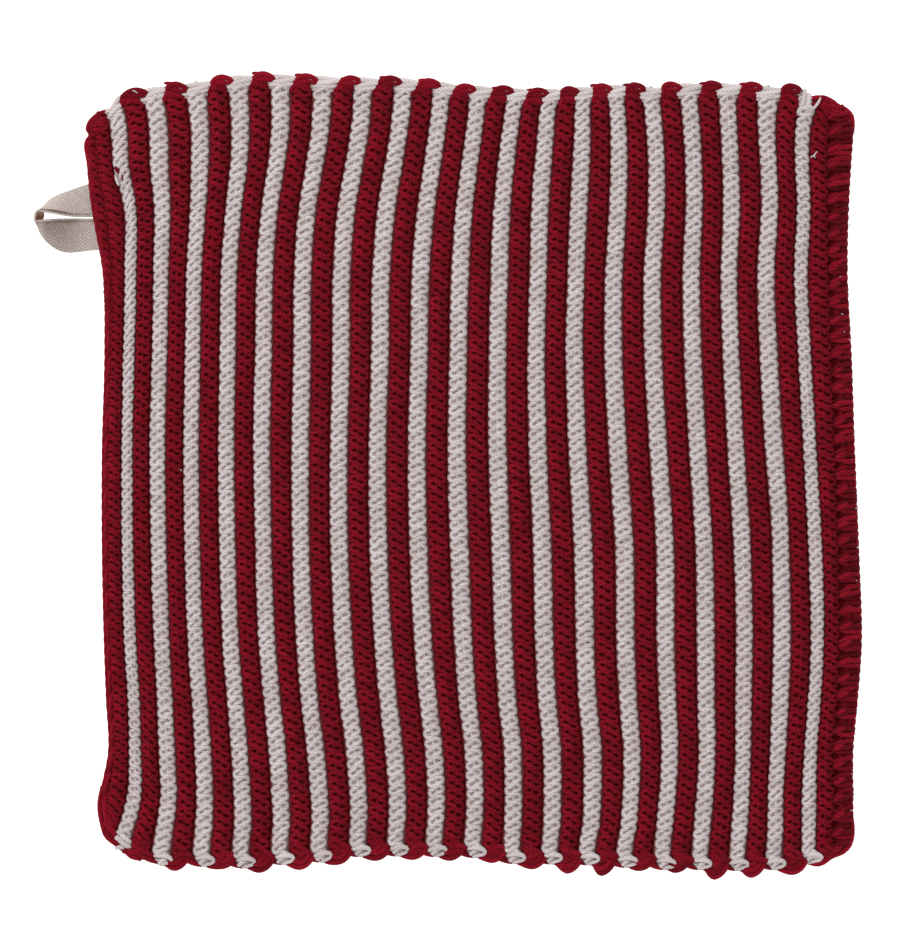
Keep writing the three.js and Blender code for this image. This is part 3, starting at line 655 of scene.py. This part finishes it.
# the red yarn that comes in from the left under the hook, and the scallop that goes on to the right
POINT = [(-9.8, 1.9, 2.3, 0.85), (-7.4, 0.40, 2.4, 0.88), (-5.4, -0.70, 1.9, 0.84), (-3.6, -1.45, 1.3, 0.70), (-2.0, -1.95, 0.9, 0.45)]
POINT_UPPER = [(-9.4, 3.5, 2.6, 0.84), (-7.4, 2.2, 2.8, 0.84), (-5.4, 1.0, 2.3, 0.76), (-4.1, 0.1, 1.5, 0.60)]
hooks = [(row[1], row[2], row[5], row[6]) for row in EDGE] + [(LAST_HOOK[0], LAST_HOOK[1], 119.6, -124.0)]
for i, (hx, hy, sx, sy) in enumerate(hooks):
    tilt = rng.normal(0, 5)
    if i == 0:
        # the first one is only a short end that slants down to the right
        for rows in ([(-105.2, -113.2, 1.6, 0.70), (-104.2, -114.9, 2.4, 0.84), (-102.6, -116.4, 2.6, 0.86), (-100.9, -117.5, 2.2, 0.80), (-100.1, -117.9, 1.6, 0.66)],
                     [(-104.0, -112.4, 2.2, 0.70), (-102.9, -113.9, 2.8, 0.84), (-101.5, -115.2, 2.8, 0.84), (-100.3, -116.3, 2.0, 0.70)],
                     [(-103.4, -116.3, 1.0, 0.60), (-102.3, -117.4, 1.3, 0.66), (-101.2, -118.1, 1.1, 0.56)]):
            strand(cream_edge, rows, 9)
    else:
        strand(cream_edge, moved(turned(HOOK, tilt), hx, hy), 18)
        strand(cream_edge, moved(turned(HOOK_UPPER, tilt), hx, hy), 9)
        strand(cream_edge, moved(HOOK_UNDER, hx, hy), 5)
        strand(cream_edge, moved(HOOK_STUB, hx, hy), 5)
        strand(red_edge, moved(POINT, hx, hy + (0.6 if i == 1 else 0.0)), 9)
        strand(red_edge, moved(POINT_UPPER, hx, hy + (0.6 if i == 1 else 0.0)), 9)
    if i == 0:
        strand(red_edge, [(-100.6, -120.5, 1.2, 0.80), (-98.6, -121.1, 1.4, 0.90), (-96.6, -120.9, 1.4, 0.90), (-94.6, -120.7, 1.3, 0.86), (-92.4, -120.7, 1.1, 0.70)], 14)
    if i == len(hooks) - 1:
        strand(cream_edge, moved([(-2.4, 0.3, 2.0, 0.66), (-0.2, 0.1, 2.2, 0.66), (1.4, -0.3, 2.0, 0.60)], hx, hy), 6)
        strand(cream_edge, moved([(0.6, -1.15, 1.9, 0.56), (-1.2, -1.60, 1.8, 0.58), (-3.2, -2.0, 1.4, 0.44)], hx, hy), 6)
    if i < len(hooks) - 1:
        strand(red_edge, [(hx + 0.4, hy - 0.8, 0.9, 0.75), ((hx + sx) / 2 + 0.4, (hy + sy) / 2 + 0.9, 1.2, 0.95), (sx + 1.2, sy + 2.2, 1.4, 1.0), (sx + 3.2, sy + 4.2, 1.4, 0.9)], 8, tone=0.2)
        strand(red_edge, [(hx + 1.7, hy + 0.6, 1.2, 0.80), (sx - 0.2, sy + 3.6, 1.6, 1.0), (sx + 2.6, sy + 5.2, 1.6, 0.9)], 7, tone=0.2)
        strand(red_edge, [(hx - 0.9, hy - 1.75, 0.9, 0.50), (hx + 0.4, hy - 2.10, 1.2, 0.70), ((hx + sx) / 2 + 0.15, (hy + sy) / 2 - 0.75, 1.6, 0.84), (sx + 0.2, sy + 0.92, 1.9, 0.95),
                          (sx + 1.9, sy + 1.5, 2.1, 0.92), (sx + 3.6, sy + 3.1, 2.3, 0.85), (sx + 4.6, sy + 4.9, 2.2, 0.72)], 14)
        strand(red_edge, [(hx + 1.5, hy - 1.3, 1.2, 0.60), (sx - 1.5, sy + 2.8, 2.2, 0.84), (sx + 0.8, sy + 2.6, 2.6, 0.88),
                          (sx + 2.6, sy + 4.0, 2.8, 0.80), (sx + 3.3, sy + 5.5, 2.5, 0.70)], 11)
        strand(red_edge, [(hx + 2.3, hy - 0.4, 1.6, 0.66), (hx + 3.5, hy + 0.1, 2.6, 0.80), (sx + 0.9, sy + 4.5, 2.9, 0.84), (sx + 2.2, sy + 5.8, 2.7, 0.72)], 9)
        strand(red_edge, [(hx + 2.6, hy + 0.9, 1.8, 0.66), (hx + 4.0, hy + 1.6, 2.7, 0.78), (hx + 6.2, hy + 1.6, 2.9, 0.78), (hx + 8.2, hy + 0.8, 2.2, 0.66)], 9)


def patch(batch, corners, columns, rows, top=3.0, sides=-0.9, ends=-0.7, tones=(0.1, 0.9)):
    """Red stitches in a four-cornered place: its corners in mm from the lower left one round, and how many ridges and
    stitches it holds. Heights in mm: over its middle, and how much lower its sides and its two ends are."""
    low_left, low_right, high_right, high_left = (np.array(c, float) for c in corners)
    for column in range(columns):
        for side in (-1, 1):
            u, along, z, radius = arc_shapes("red", side, rows)
            across = (column + 0.5 + u) / columns
            t = (np.arange(rows)[:, None] + 0.5 + along * 0.96) / rows
            at = (low_left + (low_right - low_left) * across[..., None]) * (1 - t[..., None])
            at = at + (high_left + (high_right - high_left) * across[..., None]) * t[..., None]
            z = z - 3.3 + top + sides * np.abs(2 * across - 1) ** 2 + ends * np.abs(2 * t - 1) ** 2
            size = np.linalg.norm(high_left - low_left + high_right - low_right) / 2 / rows / 3.05
            batch.add(np.concatenate([at, np.maximum(z, 1.0)[..., None]], axis=-1) - SHIFT, radius * size**0.5, 6, tone=rng.uniform(*tones, rows))


# ---- corners
CORNERS = [
    # round the red knob above the notch at the upper left
    [(-112.6, 107.7, 1.0, 0.70), (-113.75, 109.0, 1.3, 0.84), (-113.3, 110.8, 1.5, 0.90), (-111.6, 112.8, 1.6, 0.92), (-109.9, 114.0, 1.6, 0.90), (-108.2, 114.7, 1.3, 0.76), (-107.2, 115.0, 1.0, 0.6)],
    # the first stitches below the notch lie further out
    [(-112.6, 107.0, 1.0, 0.66), (-113.7, 105.9, 1.4, 0.86), (-114.2, 104.0, 1.5, 0.92), (-113.9, 101.6, 1.5, 0.92), (-113.4, 98.6, 1.3, 0.86), (-112.8, 95.4, 1.0, 0.70)],
    # the lower left corner, rolled
    [(-109.2, -98.5, 1.0, 0.70), (-110.0, -103.6, 1.4, 0.88), (-109.0, -111.0, 1.6, 0.94), (-107.9, -114.2, 1.7, 0.94), (-105.3, -116.4, 1.5, 0.88), (-102.6, -118.6, 1.3, 0.84), (-100.2, -120.4, 1.2, 0.7)],
    [(-106.4, -112.2, 1.6, 0.90), (-104.6, -114.9, 1.6, 0.90), (-101.8, -117.6, 1.5, 0.90), (-99.4, -119.2, 1.4, 0.8)],
    [(-109.2, -104.6, 1.0, 0.90), (-108.1, -110.2, 1.1, 0.95), (-106.5, -113.7, 1.1, 1.05), (-104.2, -116.3, 1.1, 1.0), (-102.0, -117.9, 1.0, 0.9)],
    # under the knob
    [(-111.9, 107.9, 1.3, 0.80), (-112.4, 110.0, 1.9, 0.95), (-111.4, 112.0, 2.0, 0.95), (-109.4, 112.8, 1.8, 0.80)],
    [(-107.8, -99.5, 1.8, 0.80), (-108.5, -104.0, 2.3, 0.88), (-107.4, -109.8, 2.5, 0.92), (-105.6, -113.2, 2.4, 0.88), (-104.1, -115.2, 1.8, 0.72)],
    # round the upper right corner
    [(113.8, 118.6, 1.4, 0.74), (116.6, 119.0, 1.9, 0.92), (119.5, 118.7, 2.0, 0.94), (121.8, 117.5, 1.9, 0.90), (123.4, 116.2, 1.8, 0.86), (125.4, 115.4, 1.8, 0.88), (127.2, 113.7, 1.7, 0.88), (127.8, 111.0, 1.6, 0.84), (127.7, 108.2, 1.4, 0.76)],
    [(115.2, 116.9, 1.8, 0.80), (118.6, 117.0, 2.5, 0.90), (121.2, 116.4, 2.6, 0.90), (123.2, 115.4, 2.4, 0.86), (124.7, 113.8, 2.1, 0.80)],
    [(118.8, 115.8, 1.8, 0.70), (121.0, 115.4, 2.6, 0.84), (122.6, 114.5, 2.6, 0.84)],
    # round the lower right corner
    [(112.9, -122.4, 1.0, 0.5), (114.8, -122.9, 1.4, 0.74), (116.9, -123.1, 1.7, 0.88), (118.8, -122.4, 1.8, 0.92), (120.5, -121.0, 1.8, 0.92), (122.5, -120.1, 1.8, 0.90), (124.6, -119.3, 1.8, 0.90),
     (126.6, -117.4, 1.7, 0.90), (127.6, -114.6, 1.6, 0.86), (127.8, -111.4, 1.4, 0.80), (127.6, -108.4, 1.0, 0.70)],
    [(118.3, -121.2, 1.6, 0.80), (120.2, -120.2, 2.4, 0.90), (122.6, -118.8, 2.5, 0.90), (124.8, -116.7, 2.2, 0.84)],
]
for rows in CORNERS:
    strand(red_edge, rows, 18)
# the knob itself, and the stitches inside the two corners on the right
patch(red_edge, [(-113.9, 107.9), (-107.2, 108.9), (-107.6, 113.4), (-111.9, 112.4)], 1, 2, top=3.2)
patch(red_edge, [(117.6, 113.6), (122.6, 112.4), (122.2, 117.2), (117.2, 118.2)], 1, 2, top=3.3, sides=-0.4, ends=-0.3)
patch(red_edge, [(118.4, -121.0), (122.6, -119.4), (122.4, -114.6), (117.6, -116.0)], 1, 2, top=3.2, sides=-0.4, ends=-0.3)
patch(red_edge, [(-109.6, -110.9), (-105.2, -113.6), (-103.0, -108.6), (-109.0, -104.8)], 1, 2, top=3.2, sides=-0.6, ends=-0.3)
# the top of the last off-white ridge
for rows in ([(111.4, 114.6, 1.9, 0.74), (111.8, 116.4, 2.6, 0.88), (112.4, 118.4, 2.7, 0.92), (112.6, 120.3, 2.2, 0.90), (112.6, 121.5, 1.7, 0.80)],
             [(113.2, 114.8, 2.0, 0.74), (113.7, 116.4, 2.7, 0.88), (114.0, 118.4, 2.5, 0.90), (113.9, 120.3, 1.9, 0.84)],
             [(111.0, 116.9, 1.6, 0.80), (111.9, 117.4, 2.2, 0.90), (112.9, 117.5, 2.3, 0.90), (113.9, 117.1, 2.0, 0.80)],
             [(110.9, 113.6, 2.0, 0.80), (111.1, 115.2, 2.6, 0.86), (112.6, 116.0, 2.9, 0.86), (114.3, 115.2, 2.5, 0.80), (114.9, 113.9, 2.0, 0.7)],
             [(110.3, 119.6, 1.0, 0.80), (111.4, 120.7, 1.4, 0.90), (112.4, 120.9, 1.2, 0.80)],
             [(110.6, 118.2, 1.0, 0.80), (111.8, 119.2, 1.4, 0.90), (113.4, 119.4, 1.2, 0.80)],
             [(111.2, 116.4, 1.3, 0.90), (112.6, 118.4, 1.5, 0.95), (113.2, 120.4, 1.3, 0.9)]):
    strand(cream_edge, rows, 9)

# ---- the rolled left edge: two twisted cords along it
for inset, level, turn in ((0.66, 1.2, 7.0), (1.62, 2.25, 8.2)):
    y = np.arange(-105.0, 106.4, 0.9)
    for phase in (0.0, math.pi):
        angle = 2 * np.pi * y / turn + phase
        x = sway(np.zeros(len(y)), y) + inset + (0.14 if inset < 1 else 0.22) * np.cos(angle)
        z = level - 0.30 * np.sin(angle)
        rows = np.column_stack([x, y, z, np.full(len(y), 0.60)])
        if inset < 1:
            rows = np.concatenate([rows, [(-113.0, 106.9, 1.7, 0.6), (-111.4, 107.3, 2.2, 0.6), (-109.4, 107.2, 2.0, 0.5)]])
        strand(red_edge, rows, len(rows), 7)
# where the tape pulls the edge, one more column of arcs shows beside the first ridge's two
at = np.arange(54.0, 77.4, 0.97)
u, along, z, radius = arc_shapes("red", -1, len(at))
fade = ease((at - 52) / 8)[:, None]
a = 0.40 - 0.06 * fade + (0.42 + 0.22 * fade) * u
s = at[:, None] + along
s = s - 0.4 * ease((s - 52) / 10) * ease((80 - s) / 5) * (a - 0.5)
red_edge.add(place(a, s, z - 0.35, 0.5), radius, 6, tone=rng.uniform(0, 0.8, len(at)))
u, along, z, radius = arc_shapes("red", 1, len(at))
a = 0.34 + 0.40 * u
s = at[:, None] + along - 0.4 * ease((at - 52) / 10)[:, None] * (a - 0.5)
red_edge.add(place(a, s, z - 0.75, 0.5), radius, 6, tone=rng.uniform(0, 0.8, len(at)))

# ---- the hem on the right: yarns run across it from the seam to the outer edge, three to a lump
LUMP = 5.4  # mm along the edge
HEM_AT = np.array([38.90, 39.06, 39.24, 39.48, 39.70, 39.90])
HEM_Z = np.array([1.7, 2.5, 3.1, 3.2, 2.8, 1.9])
HEM_R = np.array([0.66, 0.80, 0.90, 0.92, 0.88, 0.78])
# the outer edge near the two corners: y, x
HEM_CORNER_Y = np.array([-123.0, -121.8, -120.2, -117.5, -113.9, -104.0, 104.0, 112.0, 114.5, 116.1, 117.6, 118.6])
HEM_CORNER_X = np.array([120.0, 122.4, 124.9, 127.2, 128.6, 140.0, 140.0, 128.5, 127.4, 125.4, 123.4, 122.4])


def hem_x(a, y):
    seam = sway(np.full(len(y), float(STRIPES)), y)
    edge = np.minimum(sway(np.full(len(y), STRIPES + 1.0), y), np.interp(y, HEM_CORNER_Y, HEM_CORNER_X))
    return seam + (a - STRIPES) * (edge - seam)


for y0 in np.arange(-118.3, 114.2, LUMP):
    y0 = y0 + rng.normal(0, 0.15)
    bunch = 0.52 + rng.normal(0, 0.07)
    rise = rng.normal(1.0, 0.40)
    # a bright knob where the yarns leave the seam
    knob = rng.normal(0, 0.12, 2)
    strand(hem_batch, np.column_stack([hem_x(np.array([38.98, 39.12, 39.30, 39.46]), np.full(4, y0)), y0 + np.array([-1.0, -0.45, 0.25, 0.8]) + knob[0], np.array([2.3, 3.25, 3.45, 2.9]), np.array([0.66, 0.90, 0.92, 0.7]) + 0.3 * knob[1]]), 8, 7, tone=rng.uniform(0.5, 1.0))
    sunk = rng.integers(-1, 2)
    for t in (-1, 0, 1)[1 if y0 < -117 else 0:]:
        spread = np.interp(HEM_AT, [38.9, 39.10, 39.45, 39.9], [bunch * 0.8, bunch, 0.93, 1.02])
        y = y0 + t * LUMP / 3 * spread + rise * (HEM_AT - 39.4) + rng.normal(0, 0.17, len(HEM_AT))
        z = HEM_Z + rng.normal(0, 0.15) - 0.30 * abs(t) * np.array([1, 1, 1, 1, 0.6, 0.2]) + rng.normal(0, 0.16, len(HEM_AT))
        if t == sunk:
            z = z - np.array([0, 0, 0.2, 0.9, 0.9, 0.3])
        r = HEM_R * (1 + rng.normal(0, 0.06)) * (1 + rng.normal(0, 0.05, len(HEM_AT)))
        # painted shade: the sunk yarn of each lump is also darker
        strand(hem_batch, np.column_stack([hem_x(HEM_AT, y), y, np.maximum(z, 1.0), r]), 10, 7, tone=rng.choice([-0.4, 0.0, 0.4, 0.8]) - (0.5 if t == sunk else 0.0))
# the outer edge, short yarns along it, and a long one under the lumps
for y0 in np.arange(-116.0, 112.0, 2.7):
    y = np.array([y0 - 1.7, y0, y0 + 1.7])
    strand(hem_batch, np.column_stack([hem_x(np.full(3, STRIPES + 1.0), y) - np.array([0.95, 0.72, 0.95]), y, [1.2, 1.4, 1.2], [0.55, 0.70, 0.55]]), 6, 7)
for inset, level in ((0.35, 1.5), (0.65, 1.4)):
    y = np.arange(-119.0, 116.1, 2.5)
    strand(hem_batch, np.column_stack([hem_x(np.full(len(y), STRIPES + inset), y), y, np.full(len(y), level), np.full(len(y), 1.0)]), 2 * len(y), 7, tone=0.1)

# ---- stray ends and lint
FLECKS = [(123.9, 62.4), (124.5, 50.6), (125.1, 45.0), (127.0, 42.5), (126.3, 11.3), (127.5, 4.6), (127.5, -0.9), (128.9, -10.7),
          (129.4, -23.1), (128.9, -33.5), (127.0, 78.8), (127.7, -94.6), (127.4, -106.1), (-84.4, 1.4)]
for x, y in FLECKS:
    turn, size = rng.uniform(-70, 70), rng.uniform(0.7, 1.1)
    strand(cream_edge, moved(turned([(-0.45, 0, 2.6, 0.12), (0, 0.08, 3.3, 0.2), (0.45, 0, 2.7, 0.12)], turn, size), x, y), 5, 5, tone=0.6)
for rows in ([(114.6, 115.0, 2.6, 0.42), (116.0, 116.2, 3.7, 0.46), (117.1, 117.8, 3.9, 0.42), (117.6, 119.0, 3.7, 0.25)],
             [(114.6, 100.2, 2.6, 0.25), (115.8, 101.0, 3.6, 0.26), (116.5, 102.0, 3.8, 0.16)],
             [(115.6, 100.9, 3.5, 0.22), (115.9, 99.9, 3.5, 0.14)],
             [(-105.0, 94.6, 3.0, 0.40), (-104.6, 92.9, 3.7, 0.48), (-103.9, 91.2, 3.5, 0.40)]):
    strand(cream_edge, rows, 7, 6, tone=0.6)
for rows in ([(-104.9, 97.0, 3.2, 0.40), (-104.4, 96.0, 4.2, 0.62), (-104.0, 95.2, 3.5, 0.40)],
             [(-103.0, 94.8, 3.3, 0.22), (-102.7, 93.6, 4.0, 0.28), (-102.8, 92.6, 3.4, 0.18)]):
    strand(red_edge, rows, 6, 6)

red_edge_piece = red_edge.build("edge_yarns_red", RED)
cream_edge_piece = cream_edge.build("edge_yarns_off_white", CREAM)
hem_piece = hem_batch.build("hem_yarns", RED)
print("triangles", {name: batch.triangles() for name, batch in [*knit.items(), ("red_edge", red_edge), ("cream_edge", cream_edge), ("hem", hem_batch)]})


# ---------------------------------------------------------------- the ground the ridges stand on
# height of the ground in the valleys, and under the middles of the off-white and red ridges, in mm
VALLEY, CREAM_FLOOR, RED_FLOOR = 1.4, 2.7, 2.3


def ground():
    cols = np.concatenate([[0.10], np.arange(0.25, STRIPES + 0.76, 0.125), [STRIPES + 0.90]])
    rows = np.linspace(0, 1, 62)
    A, T = np.meshgrid(cols, rows, indexing="ij")
    ridge = np.floor(A)
    within = A - ridge
    low = 0.36 + 1.3 * ease(1 - A / 2.2)  # drawn in at the lower left corner
    S = low + (STITCHES - 0.74 - low) * T
    floor_height = np.where((ridge % 2 == 1) & (ridge < STRIPES), CREAM_FLOOR, RED_FLOOR)
    top_z = VALLEY + (floor_height - VALLEY) * ease((0.37 - np.abs(within - 0.49)) / 0.20)
    top_z[0] = top_z[-1] = 1.0
    top_z[:, 0] = top_z[:, -1] = 1.0
    top = place(A, S, top_z)
    under = place(A, S, 0.15)
    nc, nr = A.shape
    index = np.arange(nc * nr).reshape(nc, nr)
    quads = np.stack([index[:-1, :-1], index[1:, :-1], index[1:, 1:], index[:-1, 1:]], -1).reshape(-1, 4)
    # off-white share: 1 under the off-white ridges, 0 under the red ones, half at their border
    off = (A - 1.5) - 2 * np.round((A - 1.5) / 2)
    pale = np.where(off < 0, 1 - ease((-off - 0.24) / 0.30), 1 - ease((off - 0.30) / 0.34))
    pale = np.where(A < STRIPES - 0.4, pale, 0.0)
    low = index + nc * nr
    under_quads = np.stack([low[:-1, :-1], low[:-1, 1:], low[1:, 1:], low[1:, :-1]], -1).reshape(-1, 4)
    rim = np.concatenate([
        np.stack([low[:-1, 0], low[1:, 0], index[1:, 0], index[:-1, 0]], -1),
        np.stack([low[-1, :-1], low[-1, 1:], index[-1, 1:], index[-1, :-1]], -1),
        np.stack([low[1:, -1], low[:-1, -1], index[:-1, -1], index[1:, -1]], -1),
        np.stack([low[0, 1:], low[0, :-1], index[0, :-1], index[0, 1:]], -1),
    ])
    faces = [np.concatenate([quads, under_quads, rim])]
    return make_object("cloth_ground", np.concatenate([top.reshape(-1, 3), under.reshape(-1, 3)]), faces, [GROUND_WITH_PAINTED_SHADE],
                       values={"pale": np.concatenate([pale.ravel(), pale.ravel()])})


ground_sheet = ground()

# ---------------------------------------------------------------- the tape of the hanging loop
# inner edge and outer edge of the tape at each section, from its upper end round to its lower one
# inner_x, inner_y, inner_z, outer_x, outer_y, outer_z
TAPE = np.array([
    [-102.4, 81.5, 0.48, -102.4, 91.9, 0.48],
    [-110.4, 81.4, 0.48, -110.4, 92.3, 0.48],
    [-113.6, 81.4, 0.7, -114.0, 91.9, 0.48],
    [-116.6, 81.3, 2.1, -117.2, 90.8, 0.5],
    [-119.5, 81.4, 4.4, -120.4, 89.7, 0.5],
    [-122.3, 81.9, 6.8, -123.0, 88.6, 0.45],
    [-124.9, 82.4, 8.6, -125.2, 87.4, 0.35],
    [-127.6, 82.8, 9.6, -127.0, 85.8, 0.25],
    [-129.0, 83.0, 9.8, -128.1, 84.2, 0.2],
    [-129.8, 82.1, 9.8, -128.0, 82.9, 0.2],
    [-130.0, 81.0, 9.8, -128.0, 81.2, 0.2],
    [-130.0, 80.2, 9.6, -129.0, 79.3, 0.2],
    [-129.6, 79.9, 9.1, -129.3, 77.6, 0.2],
    [-128.4, 80.0, 8.2, -128.5, 75.7, 0.25],
    [-126.6, 80.3, 6.8, -126.9, 73.6, 0.35],
    [-124.4, 80.6, 4.9, -124.6, 71.6, 0.45],
    [-121.6, 80.8, 2.9, -121.8, 70.3, 0.5],
    [-118.0, 80.95, 1.3, -118.3, 70.1, 0.5],
    [-112.8, 81.0, 0.5, -112.4, 70.9, 0.48],
    [-101.5, 81.1, 0.48, -101.2, 71.6, 0.48],
])
TAPE_HALF = 0.45   # half of its thickness
END_PITCH, PICK_PITCH, RELIEF = 1.10, 0.70, 0.15


def tape():
    fine = smooth(np.arange(len(TAPE)), TAPE.T, np.linspace(0, len(TAPE) - 1, 2000)).T
    # the tape's own stiffness rounds off the corners between the sections
    window = np.hanning(190)
    window /= window.sum()
    padded = np.concatenate([2 * fine[0] - fine[95:0:-1], fine, 2 * fine[-1] - fine[-2:-96:-1]])
    fine = np.array([np.convolve(padded[:, c], window, mode="same")[95:-95] for c in range(6)]).T
    line = (fine[:, :3] + fine[:, 3:]) / 2
    run = np.concatenate([[0], np.cumsum(np.linalg.norm(np.diff(line, axis=0), axis=1))])
    length = run[-1]
    n_along = int(length / PICK_PITCH * 4.5)
    v_at = np.linspace(0, length, n_along)
    sections = np.array([np.interp(v_at, run, fine[:, c]) for c in range(6)]).T
    inner, outer = sections[:, :3], sections[:, 3:]
    width = float(np.median(np.linalg.norm(inner - outer, axis=1)))
    ends = int(round(width / END_PITCH))
    n_across = ends * 6 + 1
    q = np.linspace(0, 1, n_across)
    mid = inner[:, None, :] * (1 - q)[None, :, None] + outer[:, None, :] * q[None, :, None]
    along = np.gradient(mid, axis=0)
    across = np.gradient(mid, axis=1)
    normal = np.cross(-across, along)
    normal /= np.linalg.norm(normal, axis=2, keepdims=True)
    u = q * ends
    v = v_at / PICK_PITCH
    U, V = np.meshgrid(u, v)
    # short floats of the weft, shifted by a half from row to row; the rows bow a little
    V = V + 0.5 * np.sin(np.pi * U / ends)
    row_number = np.floor(V)
    fv = V - row_number - 0.5
    across_at = U + 0.5 * (row_number % 2)
    fu = across_at - np.floor(across_at) - 0.5
    loose = np.random.default_rng(7).uniform(0.55, 1.0, (int(V.max()) + 3, ends + 3))

    def relief(sign):
        shift = 0.0 if sign > 0 else 0.5
        f = fu if sign > 0 else (fu + 1.0) % 1.0 - 0.5
        weft = np.sqrt(np.clip(1 - (1.9 * fv) ** 2, 0, 1)) * np.clip(1.25 - (2.3 * f) ** 2, 0, 1)
        return weft * loose[np.clip(row_number.astype(int), 0, None), np.floor(across_at + shift).astype(int)]
    edge = np.minimum(q, 1 - q) * width
    taper = np.sqrt(np.clip(1 - (np.clip(0.45 - edge, 0, None) / 0.45) ** 2, 0.0, 1))[None, :]
    # painted shade: the inside of the bend at the tip is coloured dark brown; painted highlight: both edges are
    # lighter, the inner one most; painted shade: a darker line runs beside the inner edge
    tip_at = run[np.argmin(fine[:, 0])]
    tip_shade_mask = np.exp(-((v_at - tip_at) / 2.4) ** 4)[:, None] * np.ones(len(q))[None, :]
    # the painted shade line is broad and dark on the upper leg near the tip
    near = ease((v_at - tip_at + 16.0) / 9.0) * (1 - ease((v_at - tip_at + 3.0) / 2.0))
    edge_shade_line = -(0.8 + 2.4 * near[:, None]) * np.exp(-((q[None, :] * width - 0.80 - 0.05 * near[:, None]) / (0.32 + 0.22 * near[:, None])) ** 2)
    edge_highlight = 0.0 + 0.5 * np.exp(-((q * width) / 0.35) ** 2) + 0.3 * np.exp(-(((1 - q) * width) / 0.3) ** 2)
    # painted shade: the lower leg is darker near the tip
    lower_leg_shade = (ease((v_at - tip_at - 2.0) / 4.0) * (1 - ease((v_at - tip_at - 9.0) / 14.0)))[:, None] * np.ones(len(q))[None, :]
    faces_points = []
    tones, tip_shades = [], []
    for sign in (1, -1):
        h = relief(sign)
        tip_shades.append(tip_shade_mask * ease(edge / 0.6)[None, :])
        thick = (TAPE_HALF - RELIEF + RELIEF * h) * (0.15 + 0.85 * taper)
        faces_points.append(mid + sign * normal * thick[..., None])
        # tone: the weave's relief, with the painted shade line, the painted highlight on the edges and the painted
        # shade of the lower leg
        tones.append(h + edge_shade_line + edge_highlight[None, :] - 0.9 * lower_leg_shade * ease(q * width / 1.2)[None, :] * (1 - 0.5 * q[None, :]))
    points = np.concatenate([p.reshape(-1, 3) for p in faces_points]) - SHIFT
    points[:, 2] += 0.08
    points[:, 2] = np.maximum(points[:, 2], 0.02)
    nl, na = mid.shape[:2]
    index = np.arange(nl * na).reshape(nl, na)
    back = index + nl * na
    top = np.stack([index[:-1, :-1], index[:-1, 1:], index[1:, 1:], index[1:, :-1]], -1).reshape(-1, 4)
    bottom = np.stack([back[:-1, :-1], back[1:, :-1], back[1:, 1:], back[:-1, 1:]], -1).reshape(-1, 4)
    rim = np.concatenate([
        np.stack([index[:-1, 0], index[1:, 0], back[1:, 0], back[:-1, 0]], -1),
        np.stack([index[1:, -1], index[:-1, -1], back[:-1, -1], back[1:, -1]], -1),
        np.stack([index[0, 1:], index[0, :-1], back[0, :-1], back[0, 1:]], -1),
        np.stack([index[-1, :-1], index[-1, 1:], back[-1, 1:], back[-1, :-1]], -1),
    ])
    return make_object("tape_loop", points, [np.concatenate([top, bottom, rim])], [TAPE_COTTON], values={"tone": np.concatenate([t.ravel() for t in tones]), "tip_shade": np.concatenate([t.ravel() for t in tip_shades])}), length, width


def tape_material():
    material, tree, shader = nodes_of("tape_cotton")
    link = tree.links.new
    tone = tree.nodes.new("ShaderNodeAttribute")
    tone.attribute_name = "tone"
    coords = tree.nodes.new("ShaderNodeTexCoord")
    fuzz = tree.nodes.new("ShaderNodeTexNoise")
    fuzz.inputs["Scale"].default_value = 2200
    fuzz.inputs["Detail"].default_value = 4
    link(coords.outputs["Object"], fuzz.inputs["Vector"])
    level = math_node(tree, "ADD", math_node(tree, "MULTIPLY", tone.outputs["Fac"], 0.45), math_node(tree, "MULTIPLY", fuzz.outputs["Fac"], 0.55))
    ramp = tree.nodes.new("ShaderNodeValToRGB")
    ramp.color_ramp.elements[0].position, ramp.color_ramp.elements[0].color = 0.05, (*srgb(98, 78, 68), 1)
    ramp.color_ramp.elements[1].position, ramp.color_ramp.elements[1].color = 0.93, (*srgb(214, 204, 198), 1)
    middle = ramp.color_ramp.elements.new(0.42)
    middle.color = (*srgb(150, 135, 128), 1)
    level = math_node(tree, "DIVIDE", math_node(tree, "ADD", level, 0.5), 1.5)
    link(level, ramp.inputs["Fac"])
    # painted shade: near the tip's bend the colour is mixed into a dark brown
    tip_shade = tree.nodes.new("ShaderNodeAttribute")
    tip_shade.attribute_name = "tip_shade"
    mix = tree.nodes.new("ShaderNodeMix")
    mix.data_type = "RGBA"
    link(math_node(tree, "MULTIPLY", tip_shade.outputs["Fac"], 1.0, clamp=True), mix.inputs[0])
    link(ramp.outputs["Color"], mix.inputs[6])
    mix.inputs[7].default_value = (*srgb(136, 94, 58), 1)
    link(mix.outputs[2], shader.inputs["Base Color"])
    bump = tree.nodes.new("ShaderNodeBump")
    bump.inputs["Strength"].default_value = 0.6
    bump.inputs["Distance"].default_value = 0.12 * MM
    link(fuzz.outputs["Fac"], bump.inputs["Height"])
    link(bump.outputs["Normal"], shader.inputs["Normal"])
    shader.inputs["Roughness"].default_value = 0.9
    shader.inputs["Specular IOR Level"].default_value = 0.15
    return material


TAPE_COTTON = tape_material()
tape_piece, tape_length, tape_width = tape()
print("tape", tape_length, tape_width, len(tape_piece.data.polygons) * 2)

# ---------------------------------------------------------------- riding
parts = knit_pieces + [red_edge_piece, cream_edge_piece, hem_piece]
for piece in [ground_sheet, tape_piece] + parts:
    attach(piece, "root")
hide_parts("cloth")
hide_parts("hanging_loop")
